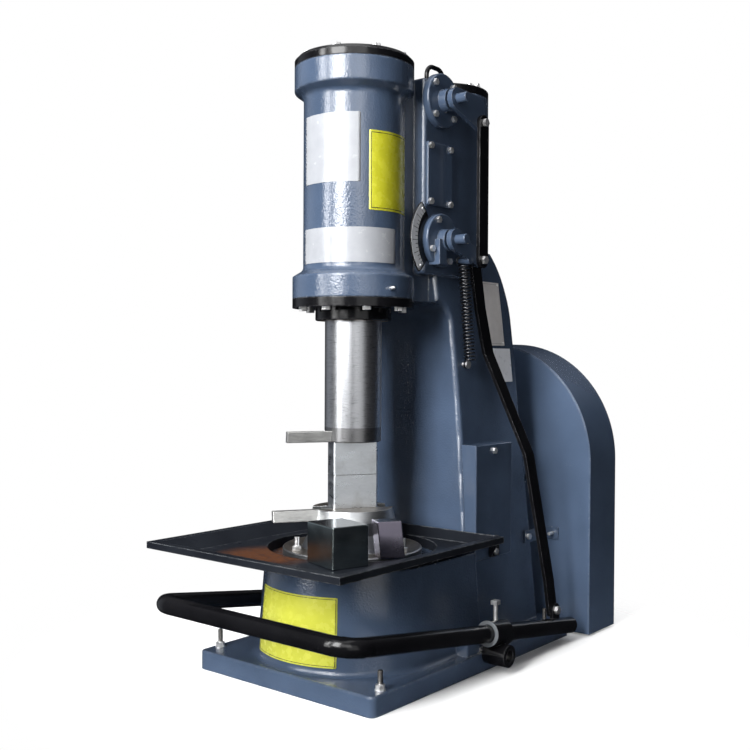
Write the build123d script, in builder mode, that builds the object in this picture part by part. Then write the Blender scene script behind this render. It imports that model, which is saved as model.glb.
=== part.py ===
from build123d import *
import math
import os

# Pneumatic forging hammer, in millimetres
# The origin is on the ram axis at floor level, -Y is the operator's side and +X the valve side

# Fits
RUNNING_FIT = 0.05
SEAT_GAP = 0.1
BOLT_HOLE_GAP = 0.3

# Base plate and pedestal
BASE_HALF_WIDTH = 244
BASE_FRONT = -225
BASE_BACK = 535
BASE_THICKNESS = 40
BASE_CORNER = 14
BASE_EDGE = 4
PEDESTAL_FOOT_RADIUS = 207
PEDESTAL_TOP_RADIUS = 190
PEDESTAL_TOP = 244
PEDESTAL_FOOT_FILLET = 11
FOOT_FILLET_SHARE = 0.8

# Column
COLUMN_FRONT = 200
COLUMN_REAR = 462
COLUMN_FOOT_REAR = 510
COLUMN_FOOT_HALF = 174
COLUMN_LOW_HALF = 164
COLUMN_MID_HALF = 149
COLUMN_MID_Z = 490
COLUMN_TOP_HALF = 110
COLUMN_TOP_Z = 840
COLUMN_EDGE = 10
THROAT_FILLET = 45
REAR_CURVE_START = 770
REAR_CURVE_RADIUS = 222

# Ram barrel
BARREL_RADIUS = 110
BARREL_BOTTOM = 803
BARREL_LENGTH = 498
BARREL_TOP = BARREL_BOTTOM + BARREL_LENGTH
BOTTOM_FLANGE_RADIUS = 133
BOTTOM_FLANGE_HEIGHT = 48
TOP_FLANGE_RADIUS = 130
TOP_FLANGE_HEIGHT = 51
FLANGE_NECK = 14
BORE_RADIUS = 75

# Compressor barrel
COMPRESSOR_Y = 338
COMPRESSOR_RADIUS = 106
COMPRESSOR_DROP = 1
COMPRESSOR_TOP = BARREL_TOP - COMPRESSOR_DROP
COMPRESSOR_BORE_BOTTOM = 745

# Valve chest
CHEST_HALF_WIDTH = 118
CHEST_FRONT = 98
CHEST_BOTTOM = 862
CHEST_DROP = 11
CHEST_TOP = BARREL_TOP - CHEST_DROP
CHEST_EDGE = 8
WEB_HALF_WIDTH = 88

# Ram and dies
RAM_RADIUS = 62
RAM_BOTTOM = 495
RAM_PISTON_BOTTOM = 940
RAM_PISTON_LENGTH = 120
RING_COUNT = 3
RING_HEIGHT = 6
RING_DEPTH = 5
RING_SPACING = 16
DIE_LENGTH = 100
DIE_WIDTH = 50
DIE_GAP = 0.4
DIE_TURN = 58
SLOT_HALF = 24
SLOT_DEPTH = 24
SLOT_LEAN = 8
WEDGE_WIDTH = 16
UPPER_WEDGE_REACH = 153
LOWER_WEDGE_REACH = 183
WEDGE_TAIL = 56

# Anvil
ANVIL_TOP = 351
ANVIL_TOP_RADIUS = 87
ANVIL_BODY_RADIUS = 93
ANVIL_FOOT_RADIUS = 110
ANVIL_DISC_RADIUS = 152
ANVIL_DISC_HEIGHT = 22
ANVIL_SPIGOT_RADIUS = 95
ANVIL_SPIGOT_DEPTH = 80
ANVIL_STUD_CIRCLE = 131
LOWER_DIE_TOP = 423
ANVIL_STUD_TOP = 294
ANVIL_NUT = 9

# Loose die blocks standing in the tray
BLOCK_X = 112
BLOCK_Y = -176
BLOCK_LENGTH = 99
BLOCK_WIDTH = 83
BLOCK_HEIGHT = 83
BLOCK_TURN = -17
PLATE_X = 142
PLATE_Y = -46
PLATE_LENGTH = 53
PLATE_WIDTH = 42
PLATE_HEIGHT = 76
PLATE_TURN = 56.6
PLATE_LEAN = 6
BLOCK_CHAMFER = 3

# Gland
GLAND_RADIUS = 133
GLAND_THICKNESS = 19
GLAND_COLLAR_RADIUS = 83
GLAND_COLLAR_HEIGHT = 27
BUSH_TOP = 872
GLAND_BOLT_CIRCLE = 112
GLAND_BOLT_COUNT = 8

# Caps
CAP_THICKNESS = 22
CAP_CHAMFER = 8
CAP_BOLT_COUNT = 8
CAP_BOLT_CIRCLE = 108
CAP_BOLT_GRIP = 24
COMPRESSOR_CAP_THICKNESS = 20
COMPRESSOR_CAP_BOLT_CIRCLE = 92
OIL_PLUG_X = 85
OIL_PLUG_Y = 350
LOOP_X = 96
LOOP_Y = 165
LOOP_WIDTH = 72
LOOP_RISE = 42
LOOP_TOP = CHEST_TOP + LOOP_RISE
LOOP_WIRE = 5
LOOP_BEND = 22
LOOP_FOOT = 10
NIPPLE_TURN = -14.3
NIPPLE_Z = 822
NIPPLE_RADIUS = 4
NIPPLE_LENGTH = 9

# Scale tray
TRAY_HALF_WIDTH = 257
TRAY_FRONT = -336
TRAY_BACK = 192
TRAY_RIM_Z = 290
TRAY_FLOOR_Z = 263
TRAY_SLOPE = 42
TRAY_LIP = 12
TRAY_LIP_DROP = 14
TRAY_SHEET = 3
TRAY_HOLE_RADIUS = 188
STRAP_HEIGHT = 22
STRAP_THICKNESS = 5
STRAP_TAB = 34
TRAY_COLLAR_WALL = 3
TRAY_BACK_SLOPE = 4

# Side cover
COVER_OUTER = 190
COVER_LENGTH = 150
COVER_FRONT_GAP = 1
COVER_BOTTOM = 222
COVER_TOP = 482
COVER_WALL = 6
COVER_BOLT_INSET = 74
COVER_BOLT_EDGE = 15
ACCESS_INSET = 34
ACCESS_LENGTH = 82
ACCESS_BOTTOM = 290
ACCESS_TOP = 444

# Treadle
TREADLE_PIPE_RADIUS = 19
TREADLE_PIPE_WALL = 3.5
TREADLE_SIDE_GAP = 22
TREADLE_ARM_X = BASE_HALF_WIDTH + TREADLE_SIDE_GAP
TREADLE_FRONT_Y = -322
TREADLE_FRONT_Z = 157.07
TREADLE_PITCH = 8.4
TREADLE_BEND = 42
TREADLE_RIGHT_END = 500
TREADLE_LEFT_END = 210
PIVOT_Y = 165
PIVOT_Z = 41
PIVOT_SHAFT_RADIUS = 14
PIVOT_TUBE_RADIUS = 24
PIVOT_TUBE_OVERHANG = 36
PIVOT_TUBE_OUTER = TREADLE_ARM_X + PIVOT_TUBE_OVERHANG
PIVOT_TUBE_GAP = 3
PIVOT_SHAFT_INSET = 12
PIVOT_SHAFT_END = PIVOT_TUBE_OUTER - PIVOT_SHAFT_INSET
CLAMP_RADIUS = 28
CLAMP_LENGTH = 64
SET_SCREW_TOP = 156
SET_SCREW_HEAD = 9
SET_SCREW_SQUARE = 15
PAD_HALF_LENGTH = 63
PAD_INNER = 180
PAD_MARGIN = 8
PAD_OUTER = BASE_HALF_WIDTH - PAD_MARGIN
PAD_TOP = 67

# Valves, levers and links
VALVE_Y = 150
LOWER_VALVE_Z = 937
UPPER_VALVE_DROP = 45
UPPER_VALVE_Z = CHEST_TOP - UPPER_VALVE_DROP
SPOOL_RADIUS = 32
SPOOL_INNER = -70
VALVE_SHAFT_RADIUS = 11
VALVE_SHAFT_END = 196
VALVE_FLANGE_RADIUS = 60
VALVE_FLANGE_THICKNESS = 16
VALVE_HUB_RADIUS = 23
VALVE_HUB_END = 152
VALVE_BOLT_CIRCLE = 49
LOWER_BOLT_TURN = 25
UPPER_BOLT_TURN = 45
STOP_LUG_FRONT = 34
STOP_LUG_BACK = 8
STOP_LUG_DROP = 55
INDEX_INNER_RADIUS = 61.5
INDEX_OUTER_RADIUS = 103
INDEX_CORNER = 4
INDEX_THICKNESS = 3
INDEX_FROM = 128
INDEX_TO = 226
PORT_RADIUS = 12
PORT_SHIFT = 17
LEVER_INNER = 158
LEVER_THICKNESS = 12
LEVER_BOSS_RADIUS = 24
LEVER_REACH = 93
LEVER_DROP = 38
LEVER_EYE_RADIUS = 16
LEVER_PIN_RADIUS = 5
LINK_THICKNESS = 8
LINK_WIDTH = 36
LINK_SIDE_GAP = 0.5
OPEN_PIVOT_GAP = 2.5
TREADLE_LINK_Y = 424
TREADLE_LINK_Z = 86
TREADLE_LUG_THICKNESS = 8
TREADLE_LUG_RADIUS = 16
TREADLE_PIN_RADIUS = 6
JOGGLE_LOW_INSET = 26
JOGGLE_LOW_X = TREADLE_ARM_X - JOGGLE_LOW_INSET
JOGGLE_LOW_Z = 457
JOGGLE_HIGH_X = 161
JOGGLE_HIGH_Z = 690
JOGGLE_BEND = 60
FLAG_REACH = 90
FLAG_RISE = 4
CHEST_PLATE_HALF = 46
CHEST_PLATE_ABOVE_VALVE = 75
CHEST_PLATE_BELOW_VALVE = 93
CHEST_PLATE_BOTTOM = LOWER_VALVE_Z + CHEST_PLATE_ABOVE_VALVE
CHEST_PLATE_TOP = UPPER_VALVE_Z - CHEST_PLATE_BELOW_VALVE
CHEST_PLATE_THICKNESS = 6
CHEST_BOLT_INSET = 9

# Return spring
SPRING_COIL_RADIUS = 11.6
SPRING_WIRE_RADIUS = 1.7
SPRING_TURNS = 28
SPRING_HOOK_RADIUS = 8
SPRING_PIN_RADIUS = 6
SPRING_PITCH = 7.8
SPRING_LEAN = 7.1
SPRING_TOP_Y = 204
SPRING_TOP_Z = 895
SPRING_X = 150
SPRING_PIN_INNER = 128

# Drive
CRANK_Z = 425
CRANK_THROW = 80
CRANK_DISC_RADIUS = 116
CRANK_DISC_FRONT = 366
CRANK_DISC_THICKNESS = 24
CRANK_PIN_RADIUS = 20
CRANK_PIN_GAP = 0.5
ROD_THICKNESS = 44
ROD_BIG_END_RADIUS = 38
ROD_SMALL_END_RADIUS = 28
ROD_SHANK_HALF = 17
WRIST_PIN_RADIUS = 14
PISTON_PIN_TO_CROWN = 325
PISTON_TOP_GAP = 15
ROD_LENGTH = COMPRESSOR_TOP - PISTON_TOP_GAP - PISTON_PIN_TO_CROWN - CRANK_THROW - CRANK_Z
PISTON_SKIRT = 80
PISTON_WALL = 11
PISTON_CROWN = 20
CASE_HALF_WIDTH = 124
CASE_BOTTOM = 285
CASE_SHOULDER = 570
CASE_NECK_HALF = 88
CASE_NECK_Z = 700
CASE_FRONT = 236
CASE_WALL = 22
HOUSING_SPIGOT_RADIUS = 121
HOUSING_FLANGE_RADIUS = 146
HOUSING_SPIGOT_FRONT = 424
HOUSING_SEAT = 486
HOUSING_BOLT_CIRCLE = 133.5
HOUSING_FLANGE_THICKNESS = 18
HOUSING_TUBE_RADIUS = 74
HOUSING_END = 551
JOURNAL_RADIUS = 30
BEARING_RADIUS = 55
BEARING_WIDTH = 27
BEARING_INSET = 8
FLYWHEEL_RADIUS = 220
FLYWHEEL_FRONT = 566
FLYWHEEL_WIDTH = 84
FLYWHEEL_RIM = 34
FLYWHEEL_WEB = 20
FLYWHEEL_HUB_RADIUS = 58
CRANKSHAFT_END = 672
MOTOR_Z = 145
MOTOR_RADIUS = 88
MOTOR_FRONT = 262
MOTOR_LENGTH = 228
MOTOR_SHAFT_RADIUS = 14
MOTOR_PULLEY_RADIUS = 41
MOTOR_BAY_HALF = 124
MOTOR_BAY_FRONT = 232
MOTOR_BAY_TOP = 256
BELT_COUNT = 2
BELT_PITCH = 30
BELT_WIDTH = 17
BELT_HEIGHT = 11
BELT_GAP = 0.3
FLYWHEEL_NUT_FLATS = 62
FLYWHEEL_NUT = 16
FLYWHEEL_THREAD_RADIUS = 20
MOTOR_FOOT_HALF = 104
MOTOR_FOOT_HEIGHT = 14
MOTOR_BOX_WIDTH = 84
MOTOR_BOX_HEIGHT = 18
MOTOR_FIN_COUNT = 9

# Belt guard
GUARD_HALF_WIDTH = 290
GUARD_DEPTH = 135
GUARD_FIT = 0.2
GUARD_MOTOR_HOLE = 52
GUARD_BOLT_CIRCLE = 64
BRACKET_WIDTH = 30
BRACKET_THICKNESS = 5
BRACKET_BOLT_Y = 463
BRACKET_TAB = 40
GUARD_SHEET = 3
GUARD_BOTTOM = 4
GUARD_BRACKET_Z = 243

# Fasteners
M10_RADIUS = 5
M10_FLATS = 17
M10_HEAD = 7
M8_RADIUS = 4
M8_FLATS = 13
M8_HEAD = 5.5
STUD_SIDE_INSET = 18
STUD_FRONT_INSET = 45
STUD_REAR_INSET = 89
STUD_X = BASE_HALF_WIDTH - STUD_SIDE_INSET
STUD_FRONT_Y = BASE_FRONT + STUD_FRONT_INSET
STUD_REAR_Y = BASE_BACK - STUD_REAR_INSET
STUD_TOP = 78
WASHER_RADIUS = 11
WASHER_THICKNESS = 2

os.makedirs("parts", exist_ok=True)


# Planes and small shared forms
def side_plane(x):
    return Plane.YZ.offset(x)


def side_point(x, y, z):
    return Plane(origin=(x, y, z), x_dir=(0, 1, 0), z_dir=(1, 0, 0))


def cross_plane(y):
    return Plane(origin=(0, y, 0), x_dir=(1, 0, 0), z_dir=(0, -1, 0))


def level_plane(z):
    return Plane.XY.offset(z)


def ring_points(count, radius, start=0.0):
    turns = [math.radians(start + 360 * index / count) for index in range(count)]
    return [(radius * math.cos(turn), radius * math.sin(turn)) for turn in turns]


def hex_bolts(planes, radius, flats, head, shank):
    with BuildPart() as bolts:
        with BuildSketch(*planes):
            RegularPolygon(radius=flats / 2, side_count=6, major_radius=False)
        extrude(amount=head)
        with BuildSketch(*planes):
            Circle(radius)
        extrude(amount=-shank)
    return bolts


def export(builder, name):
    builder.part.label = name
    export_step(builder.part, "parts/" + name + ".step")


# Directions of the die slots, which lie at an angle to the frame
die_turn = math.radians(DIE_TURN)
die_along = Vector(math.cos(die_turn), math.sin(die_turn), 0)
die_across = Vector(math.sin(die_turn), -math.cos(die_turn), 0)
slot_lean = SLOT_DEPTH * math.tan(math.radians(SLOT_LEAN))
wedge_left = SLOT_HALF - WEDGE_WIDTH


def die_section(z, reach):
    origin = Vector(0, 0, z) + die_along * reach
    return Plane(origin=origin, x_dir=die_across, z_dir=-die_along)


def die_plan(z):
    return Plane(origin=(0, 0, z), x_dir=die_along, z_dir=(0, 0, 1))


# Bolt places shared by pieces and the holes for them
cap_top = BARREL_TOP + CAP_THICKNESS
gland_bottom = BARREL_BOTTOM - GLAND_THICKNESS
compressor_cap_top = COMPRESSOR_TOP + COMPRESSOR_CAP_THICKNESS
cap_bolt_planes = [
    Plane(origin=(x, y, cap_top)) for x, y in ring_points(CAP_BOLT_COUNT, CAP_BOLT_CIRCLE, 20)
]
compressor_bolt_planes = [
    Plane(origin=(x, y + COMPRESSOR_Y, compressor_cap_top))
    for x, y in ring_points(CAP_BOLT_COUNT, COMPRESSOR_CAP_BOLT_CIRCLE, 30)
]
gland_bolt_planes = [
    Plane(origin=(x, y, gland_bottom), z_dir=(0, 0, -1))
    for x, y in ring_points(GLAND_BOLT_COUNT, GLAND_BOLT_CIRCLE, 10)
]
valve_flange_face = CHEST_HALF_WIDTH + VALVE_FLANGE_THICKNESS


def valve_bolt_planes(z, turn):
    points = ring_points(4, VALVE_BOLT_CIRCLE, turn)
    return [side_point(valve_flange_face, VALVE_Y + y, z + dz) for y, dz in points]


lower_valve_bolts = valve_bolt_planes(LOWER_VALVE_Z, LOWER_BOLT_TURN)
upper_valve_bolts = valve_bolt_planes(UPPER_VALVE_Z, UPPER_BOLT_TURN)
chest_plate_face = CHEST_HALF_WIDTH + CHEST_PLATE_THICKNESS
chest_bolt_planes = [
    side_point(chest_plate_face, VALVE_Y + side * (CHEST_PLATE_HALF - CHEST_BOLT_INSET), z)
    for side in (-1, 1)
    for z in (CHEST_PLATE_BOTTOM + CHEST_BOLT_INSET, CHEST_PLATE_TOP - CHEST_BOLT_INSET)
]
cover_bolt_y = COLUMN_FRONT + COVER_BOLT_INSET
cover_bolt_heights = [COVER_BOTTOM + COVER_BOLT_EDGE, COVER_TOP - COVER_BOLT_EDGE]
stud_points = [(side * STUD_X, y) for side in (-1, 1) for y in (STUD_FRONT_Y, STUD_REAR_Y)]
anvil_stud_points = ring_points(3, ANVIL_STUD_CIRCLE, 6)


# Spring lines: directions along and across the leaning coil, and the anchor that follows from them
spring_lean = math.radians(SPRING_LEAN)
spring_up = Vector(0, -math.sin(spring_lean), math.cos(spring_lean))
spring_side = Vector(0, math.cos(spring_lean), math.sin(spring_lean))
spring_rise = math.atan(SPRING_PITCH / (2 * math.pi * SPRING_COIL_RADIUS))
hook_side = SPRING_HOOK_RADIUS * math.sin(spring_rise)
hook_drop = SPRING_HOOK_RADIUS * math.cos(spring_rise)
spring_body = SPRING_PITCH * SPRING_TURNS
spring_top_pin = Vector(SPRING_X, SPRING_TOP_Y, SPRING_TOP_Z)
spring_low_pin = spring_top_pin + spring_side * (2 * hook_side) - spring_up * (spring_body + 2 * hook_drop)
spring_anchor_y = spring_low_pin.Y
spring_anchor_z = spring_low_pin.Z


# Column outline from the front, shared by the casting and the cover that sits on its side
wall_top = CHEST_BOTTOM + 2 * CHEST_EDGE + TOP_FLANGE_HEIGHT
column_bottom = BASE_THICKNESS / 2
with BuildPart() as column_sides:
    with BuildSketch(cross_plane(0)):
        with BuildLine():
            for side in (-1, 1):
                foot = (side * COLUMN_FOOT_HALF, column_bottom)
                low = (side * COLUMN_LOW_HALF, PEDESTAL_TOP)
                middle = (side * COLUMN_MID_HALF, COLUMN_MID_Z)
                high = (side * COLUMN_TOP_HALF, COLUMN_TOP_Z)
                top = (side * (COLUMN_TOP_HALF - CHEST_EDGE), wall_top)
                Line(foot, low)
                ThreePointArc(low, middle, high)
                Line(high, top)
                Line(top, (0, wall_top))
                Line((0, column_bottom), foot)
        make_face()
    extrude(amount=-BASE_BACK)

# Column: the side profile cut to that outline, with its long edges rounded
rear_centre_y = COLUMN_REAR - REAR_CURVE_RADIUS
rear_turn = math.asin((wall_top - REAR_CURVE_START) / REAR_CURVE_RADIUS)
rear_curve_mid = (
    rear_centre_y + REAR_CURVE_RADIUS * math.cos(rear_turn / 2),
    REAR_CURVE_START + REAR_CURVE_RADIUS * math.sin(rear_turn / 2),
)
rear_curve_end = (rear_centre_y + REAR_CURVE_RADIUS * math.cos(rear_turn), wall_top)
throat_y = COLUMN_FRONT - THROAT_FILLET
throat_z = BARREL_BOTTOM - THROAT_FILLET
throat_bulge = THROAT_FILLET * math.sqrt(0.5)
with BuildPart() as column:
    with BuildSketch(Plane.YZ):
        with BuildLine():
            Line((COLUMN_FOOT_REAR, column_bottom), (COLUMN_FRONT, column_bottom))
            Line((COLUMN_FRONT, column_bottom), (COLUMN_FRONT, throat_z))
            ThreePointArc(
                (COLUMN_FRONT, throat_z),
                (throat_y + throat_bulge, throat_z + throat_bulge),
                (throat_y, BARREL_BOTTOM),
            )
            Polyline((throat_y, BARREL_BOTTOM), (throat_y, wall_top), rear_curve_end)
            ThreePointArc(rear_curve_end, rear_curve_mid, (COLUMN_REAR, REAR_CURVE_START))
            Polyline(
                (COLUMN_REAR, REAR_CURVE_START),
                (COLUMN_REAR, COLUMN_MID_Z),
                (COLUMN_FOOT_REAR, column_bottom),
            )
        make_face()
    extrude(amount=BASE_HALF_WIDTH, both=True)
    add(column_sides.part, mode=Mode.INTERSECT)
    long_edges = column.edges().filter_by(
        lambda edge: edge.bounding_box().size.Z > THROAT_FILLET and abs(edge.center().X) > RAM_RADIUS
    )
    fillet(long_edges, radius=COLUMN_EDGE)

# Frame casting: base plate, pedestal, column, both barrels and the valve chest in one piece
pedestal_height = PEDESTAL_TOP - BASE_THICKNESS
foot_ledge = min(BASE_HALF_WIDTH, -BASE_FRONT) - BASE_EDGE - PEDESTAL_FOOT_RADIUS
pedestal_taper = math.degrees(math.atan((PEDESTAL_FOOT_RADIUS - PEDESTAL_TOP_RADIUS) / pedestal_height))
chest_length = COMPRESSOR_Y - CHEST_FRONT
chest_middle_y = CHEST_FRONT + chest_length / 2
bore_planes = [side_point(SPOOL_INNER, VALVE_Y, z) for z in (LOWER_VALVE_Z, UPPER_VALVE_Z)]
lower_port_z = LOWER_VALVE_Z - PORT_SHIFT
upper_port_z = UPPER_VALVE_Z + PORT_SHIFT
loop_feet = [
    Plane(origin=(x, LOOP_Y + side * (LOOP_WIDTH / 2 - LOOP_WIRE), CHEST_TOP))
    for x in (-LOOP_X, LOOP_X)
    for side in (-1, 1)
]
housing_bolt_planes = [
    Plane(origin=(x, HOUSING_SEAT + HOUSING_FLANGE_THICKNESS, CRANK_Z + z), z_dir=(0, 1, 0))
    for x, z in ring_points(8, HOUSING_BOLT_CIRCLE, 22.5)
]
with BuildPart() as pedestal:
    with BuildSketch(level_plane(BASE_THICKNESS)):
        Circle(PEDESTAL_FOOT_RADIUS)
        with Locations((0, COLUMN_FRONT)):
            Rectangle(2 * PEDESTAL_FOOT_RADIUS, 2 * COLUMN_FRONT)
    extrude(amount=pedestal_height, taper=pedestal_taper)
    split(bisect_by=cross_plane(COLUMN_FRONT), keep=Keep.TOP)
with BuildPart() as frame_casting:
    # Base plate
    with BuildSketch():
        with Locations((0, (BASE_FRONT + BASE_BACK) / 2)):
            RectangleRounded(2 * BASE_HALF_WIDTH, BASE_BACK - BASE_FRONT, BASE_CORNER)
    extrude(amount=BASE_THICKNESS)
    fillet(frame_casting.faces().sort_by(Axis.Z)[-1].edges(), radius=BASE_EDGE)
    # Pedestal, half round in front, with a rounded foot
    add(pedestal.part)
    foot_edges = frame_casting.edges().filter_by(
        lambda edge: abs(edge.center().Z - BASE_THICKNESS) < 0.01
        and edge.center().Y < COLUMN_FRONT - 1
        and edge.bounding_box().min.Y > -PEDESTAL_FOOT_RADIUS - 1
        and abs(edge.center().X) < PEDESTAL_FOOT_RADIUS + 1
    )
    fillet(foot_edges, radius=min(PEDESTAL_FOOT_FILLET, FOOT_FILLET_SHARE * foot_ledge))
    # Pads that carry the treadle shaft
    with BuildSketch(level_plane(column_bottom)):
        with Locations(*[(side * (PAD_INNER + PAD_OUTER) / 2, PIVOT_Y) for side in (-1, 1)]):
            RectangleRounded(PAD_OUTER - PAD_INNER, 2 * PAD_HALF_LENGTH, BASE_EDGE)
    extrude(amount=PAD_TOP - column_bottom)
    add(column.part)
    # Seat for the bearing housing
    with BuildSketch(cross_plane(HOUSING_SEAT)):
        with Locations((0, CRANK_Z)):
            Circle(HOUSING_FLANGE_RADIUS + BASE_EDGE)
    extrude(amount=HOUSING_SEAT - COLUMN_REAR + CASE_WALL)
    # Ram barrel with its two flanges
    with BuildSketch(Plane.XZ):
        with BuildLine():
            FilletPolyline(
                (0, BARREL_BOTTOM),
                (BOTTOM_FLANGE_RADIUS, BARREL_BOTTOM),
                (BOTTOM_FLANGE_RADIUS, BARREL_BOTTOM + BOTTOM_FLANGE_HEIGHT),
                (BARREL_RADIUS, BARREL_BOTTOM + BOTTOM_FLANGE_HEIGHT + FLANGE_NECK),
                (BARREL_RADIUS, BARREL_TOP - TOP_FLANGE_HEIGHT - FLANGE_NECK),
                (TOP_FLANGE_RADIUS, BARREL_TOP - TOP_FLANGE_HEIGHT),
                (TOP_FLANGE_RADIUS, BARREL_TOP),
                (0, BARREL_TOP),
                radius=[0, 2, BASE_EDGE, FLANGE_NECK, FLANGE_NECK, BASE_EDGE, 2, 0],
                close=True,
            )
        make_face()
    revolve(axis=Axis.Z)
    # Compressor barrel
    with BuildSketch(level_plane(CASE_NECK_Z)):
        with Locations((0, COMPRESSOR_Y)):
            Circle(COMPRESSOR_RADIUS)
    extrude(amount=COMPRESSOR_TOP - CASE_NECK_Z)
    # Web between the barrels
    with BuildSketch(level_plane(BARREL_BOTTOM)):
        with Locations((0, COLUMN_FRONT / 2)):
            Rectangle(2 * WEB_HALF_WIDTH, COLUMN_FRONT)
    extrude(amount=CHEST_TOP - CHEST_EDGE - BARREL_BOTTOM)
with BuildPart() as chest:
    with BuildSketch(level_plane(CHEST_BOTTOM)):
        with Locations((0, chest_middle_y)):
            Rectangle(2 * CHEST_HALF_WIDTH, chest_length)
    extrude(amount=CHEST_TOP - CHEST_BOTTOM)
    fillet(chest.edges(), radius=CHEST_EDGE)
with BuildPart() as casting_cavities:
    # Bores of the ram and the compressor, and the seat of the anvil
    with BuildSketch(level_plane(BARREL_BOTTOM)):
        Circle(BORE_RADIUS)
    extrude(amount=BARREL_TOP - BARREL_BOTTOM)
    with BuildSketch(level_plane(COMPRESSOR_BORE_BOTTOM)):
        with Locations((0, COMPRESSOR_Y)):
            Circle(BORE_RADIUS)
    extrude(amount=COMPRESSOR_TOP - COMPRESSOR_BORE_BOTTOM)
    with BuildSketch(level_plane(PEDESTAL_TOP)):
        Circle(ANVIL_SPIGOT_RADIUS + SEAT_GAP)
    extrude(amount=-ANVIL_SPIGOT_DEPTH)
    # Bores of the valves, and the air passages between valves and barrels
    with BuildSketch(*bore_planes):
        Circle(SPOOL_RADIUS)
    extrude(amount=CHEST_HALF_WIDTH - SPOOL_INNER)
    with BuildSketch(cross_plane(0)):
        with Locations((0, lower_port_z)):
            Circle(PORT_RADIUS)
    extrude(amount=-VALVE_Y)
    with BuildSketch(cross_plane(0)):
        with Locations((0, upper_port_z)):
            Circle(PORT_RADIUS)
    extrude(amount=-COMPRESSOR_Y)
    # Crankcase, narrowing to the compressor bore
    with BuildSketch(cross_plane(CASE_FRONT)):
        with BuildLine():
            Polyline(
                (-CASE_HALF_WIDTH, CASE_BOTTOM),
                (CASE_HALF_WIDTH, CASE_BOTTOM),
                (CASE_HALF_WIDTH, CASE_SHOULDER),
                (CASE_NECK_HALF, CASE_NECK_Z),
                (CASE_NECK_HALF, COMPRESSOR_BORE_BOTTOM + BASE_CORNER),
                (-CASE_NECK_HALF, COMPRESSOR_BORE_BOTTOM + BASE_CORNER),
                (-CASE_NECK_HALF, CASE_NECK_Z),
                (-CASE_HALF_WIDTH, CASE_SHOULDER),
                close=True,
            )
        make_face()
    extrude(amount=-(COLUMN_REAR - CASE_WALL - CASE_FRONT))
    with BuildSketch(cross_plane(HOUSING_SEAT)):
        with Locations((0, CRANK_Z)):
            Circle(HOUSING_SPIGOT_RADIUS + SEAT_GAP)
    extrude(amount=HOUSING_SEAT - COLUMN_REAR + CASE_WALL + BASE_EDGE)
    with BuildSketch(level_plane(ACCESS_BOTTOM)):
        with Locations((CASE_HALF_WIDTH + COLUMN_EDGE, COLUMN_FRONT + ACCESS_INSET + ACCESS_LENGTH / 2)):
            Rectangle(COVER_OUTER - CASE_HALF_WIDTH, ACCESS_LENGTH)
    extrude(amount=ACCESS_TOP - ACCESS_BOTTOM)
    # Motor bay, open at the rear
    with BuildSketch(level_plane(BASE_THICKNESS)):
        with Locations((0, (MOTOR_BAY_FRONT + BASE_BACK) / 2)):
            Rectangle(2 * MOTOR_BAY_HALF, BASE_BACK - MOTOR_BAY_FRONT)
    extrude(amount=MOTOR_BAY_TOP - BASE_THICKNESS)
    # Treadle shaft bore
    with BuildSketch(side_point(-BASE_HALF_WIDTH, PIVOT_Y, PIVOT_Z)):
        Circle(PIVOT_SHAFT_RADIUS + SEAT_GAP)
    extrude(amount=2 * BASE_HALF_WIDTH)
with BuildPart() as casting_bolt_holes:
    with BuildSketch(*cap_bolt_planes):
        Circle(M10_RADIUS + BOLT_HOLE_GAP)
    extrude(amount=-(CAP_THICKNESS + CAP_BOLT_GRIP + 2))
    with BuildSketch(*compressor_bolt_planes):
        Circle(M8_RADIUS + BOLT_HOLE_GAP)
    extrude(amount=-(COMPRESSOR_CAP_THICKNESS + CAP_BOLT_GRIP + 2))
    with BuildSketch(*gland_bolt_planes):
        Circle(M10_RADIUS + BOLT_HOLE_GAP)
    extrude(amount=-(GLAND_THICKNESS + CAP_BOLT_GRIP + 2))
    with BuildSketch(*lower_valve_bolts, *upper_valve_bolts):
        Circle(M8_RADIUS + BOLT_HOLE_GAP)
    extrude(amount=-(VALVE_FLANGE_THICKNESS + CAP_BOLT_GRIP + 2))
    with BuildSketch(*chest_bolt_planes):
        Circle(M8_RADIUS + BOLT_HOLE_GAP)
    extrude(amount=-(CHEST_PLATE_THICKNESS + CAP_BOLT_GRIP + 2))
    with BuildSketch(*housing_bolt_planes):
        Circle(M10_RADIUS + BOLT_HOLE_GAP)
    extrude(amount=-(HOUSING_FLANGE_THICKNESS + CAP_BOLT_GRIP + 2))
    with BuildSketch(*[side_point(COVER_OUTER, cover_bolt_y, z) for z in cover_bolt_heights]):
        Circle(M8_RADIUS + BOLT_HOLE_GAP)
    extrude(amount=-(COVER_OUTER - COLUMN_MID_HALF + CAP_BOLT_GRIP - 2))
    with BuildSketch(side_point(-COLUMN_LOW_HALF, cover_bolt_y, cover_bolt_heights[0])):
        Circle(M8_RADIUS + BOLT_HOLE_GAP)
    extrude(amount=CAP_BOLT_GRIP, both=True)
    with BuildSketch(side_point(SPRING_PIN_INNER, spring_anchor_y, spring_anchor_z)):
        Circle(SPRING_PIN_RADIUS + SEAT_GAP)
    extrude(amount=CAP_BOLT_GRIP / 2 + 1, both=True)
    with BuildSketch(side_point(0, BRACKET_BOLT_Y, GUARD_BRACKET_Z)):
        Circle(M8_RADIUS + BOLT_HOLE_GAP)
    extrude(amount=COLUMN_FOOT_HALF, both=True)
    with BuildSketch(*loop_feet):
        Circle(LOOP_WIRE + SEAT_GAP)
    extrude(amount=-LOOP_FOOT)
    with BuildSketch():
        with Locations(*stud_points):
            Circle(M10_RADIUS + BOLT_HOLE_GAP)
    extrude(amount=BASE_THICKNESS)
    with BuildSketch(level_plane(PEDESTAL_TOP)):
        with Locations(*anvil_stud_points):
            Circle(M10_RADIUS + BOLT_HOLE_GAP)
    extrude(amount=-CAP_BOLT_GRIP - 2)
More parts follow.
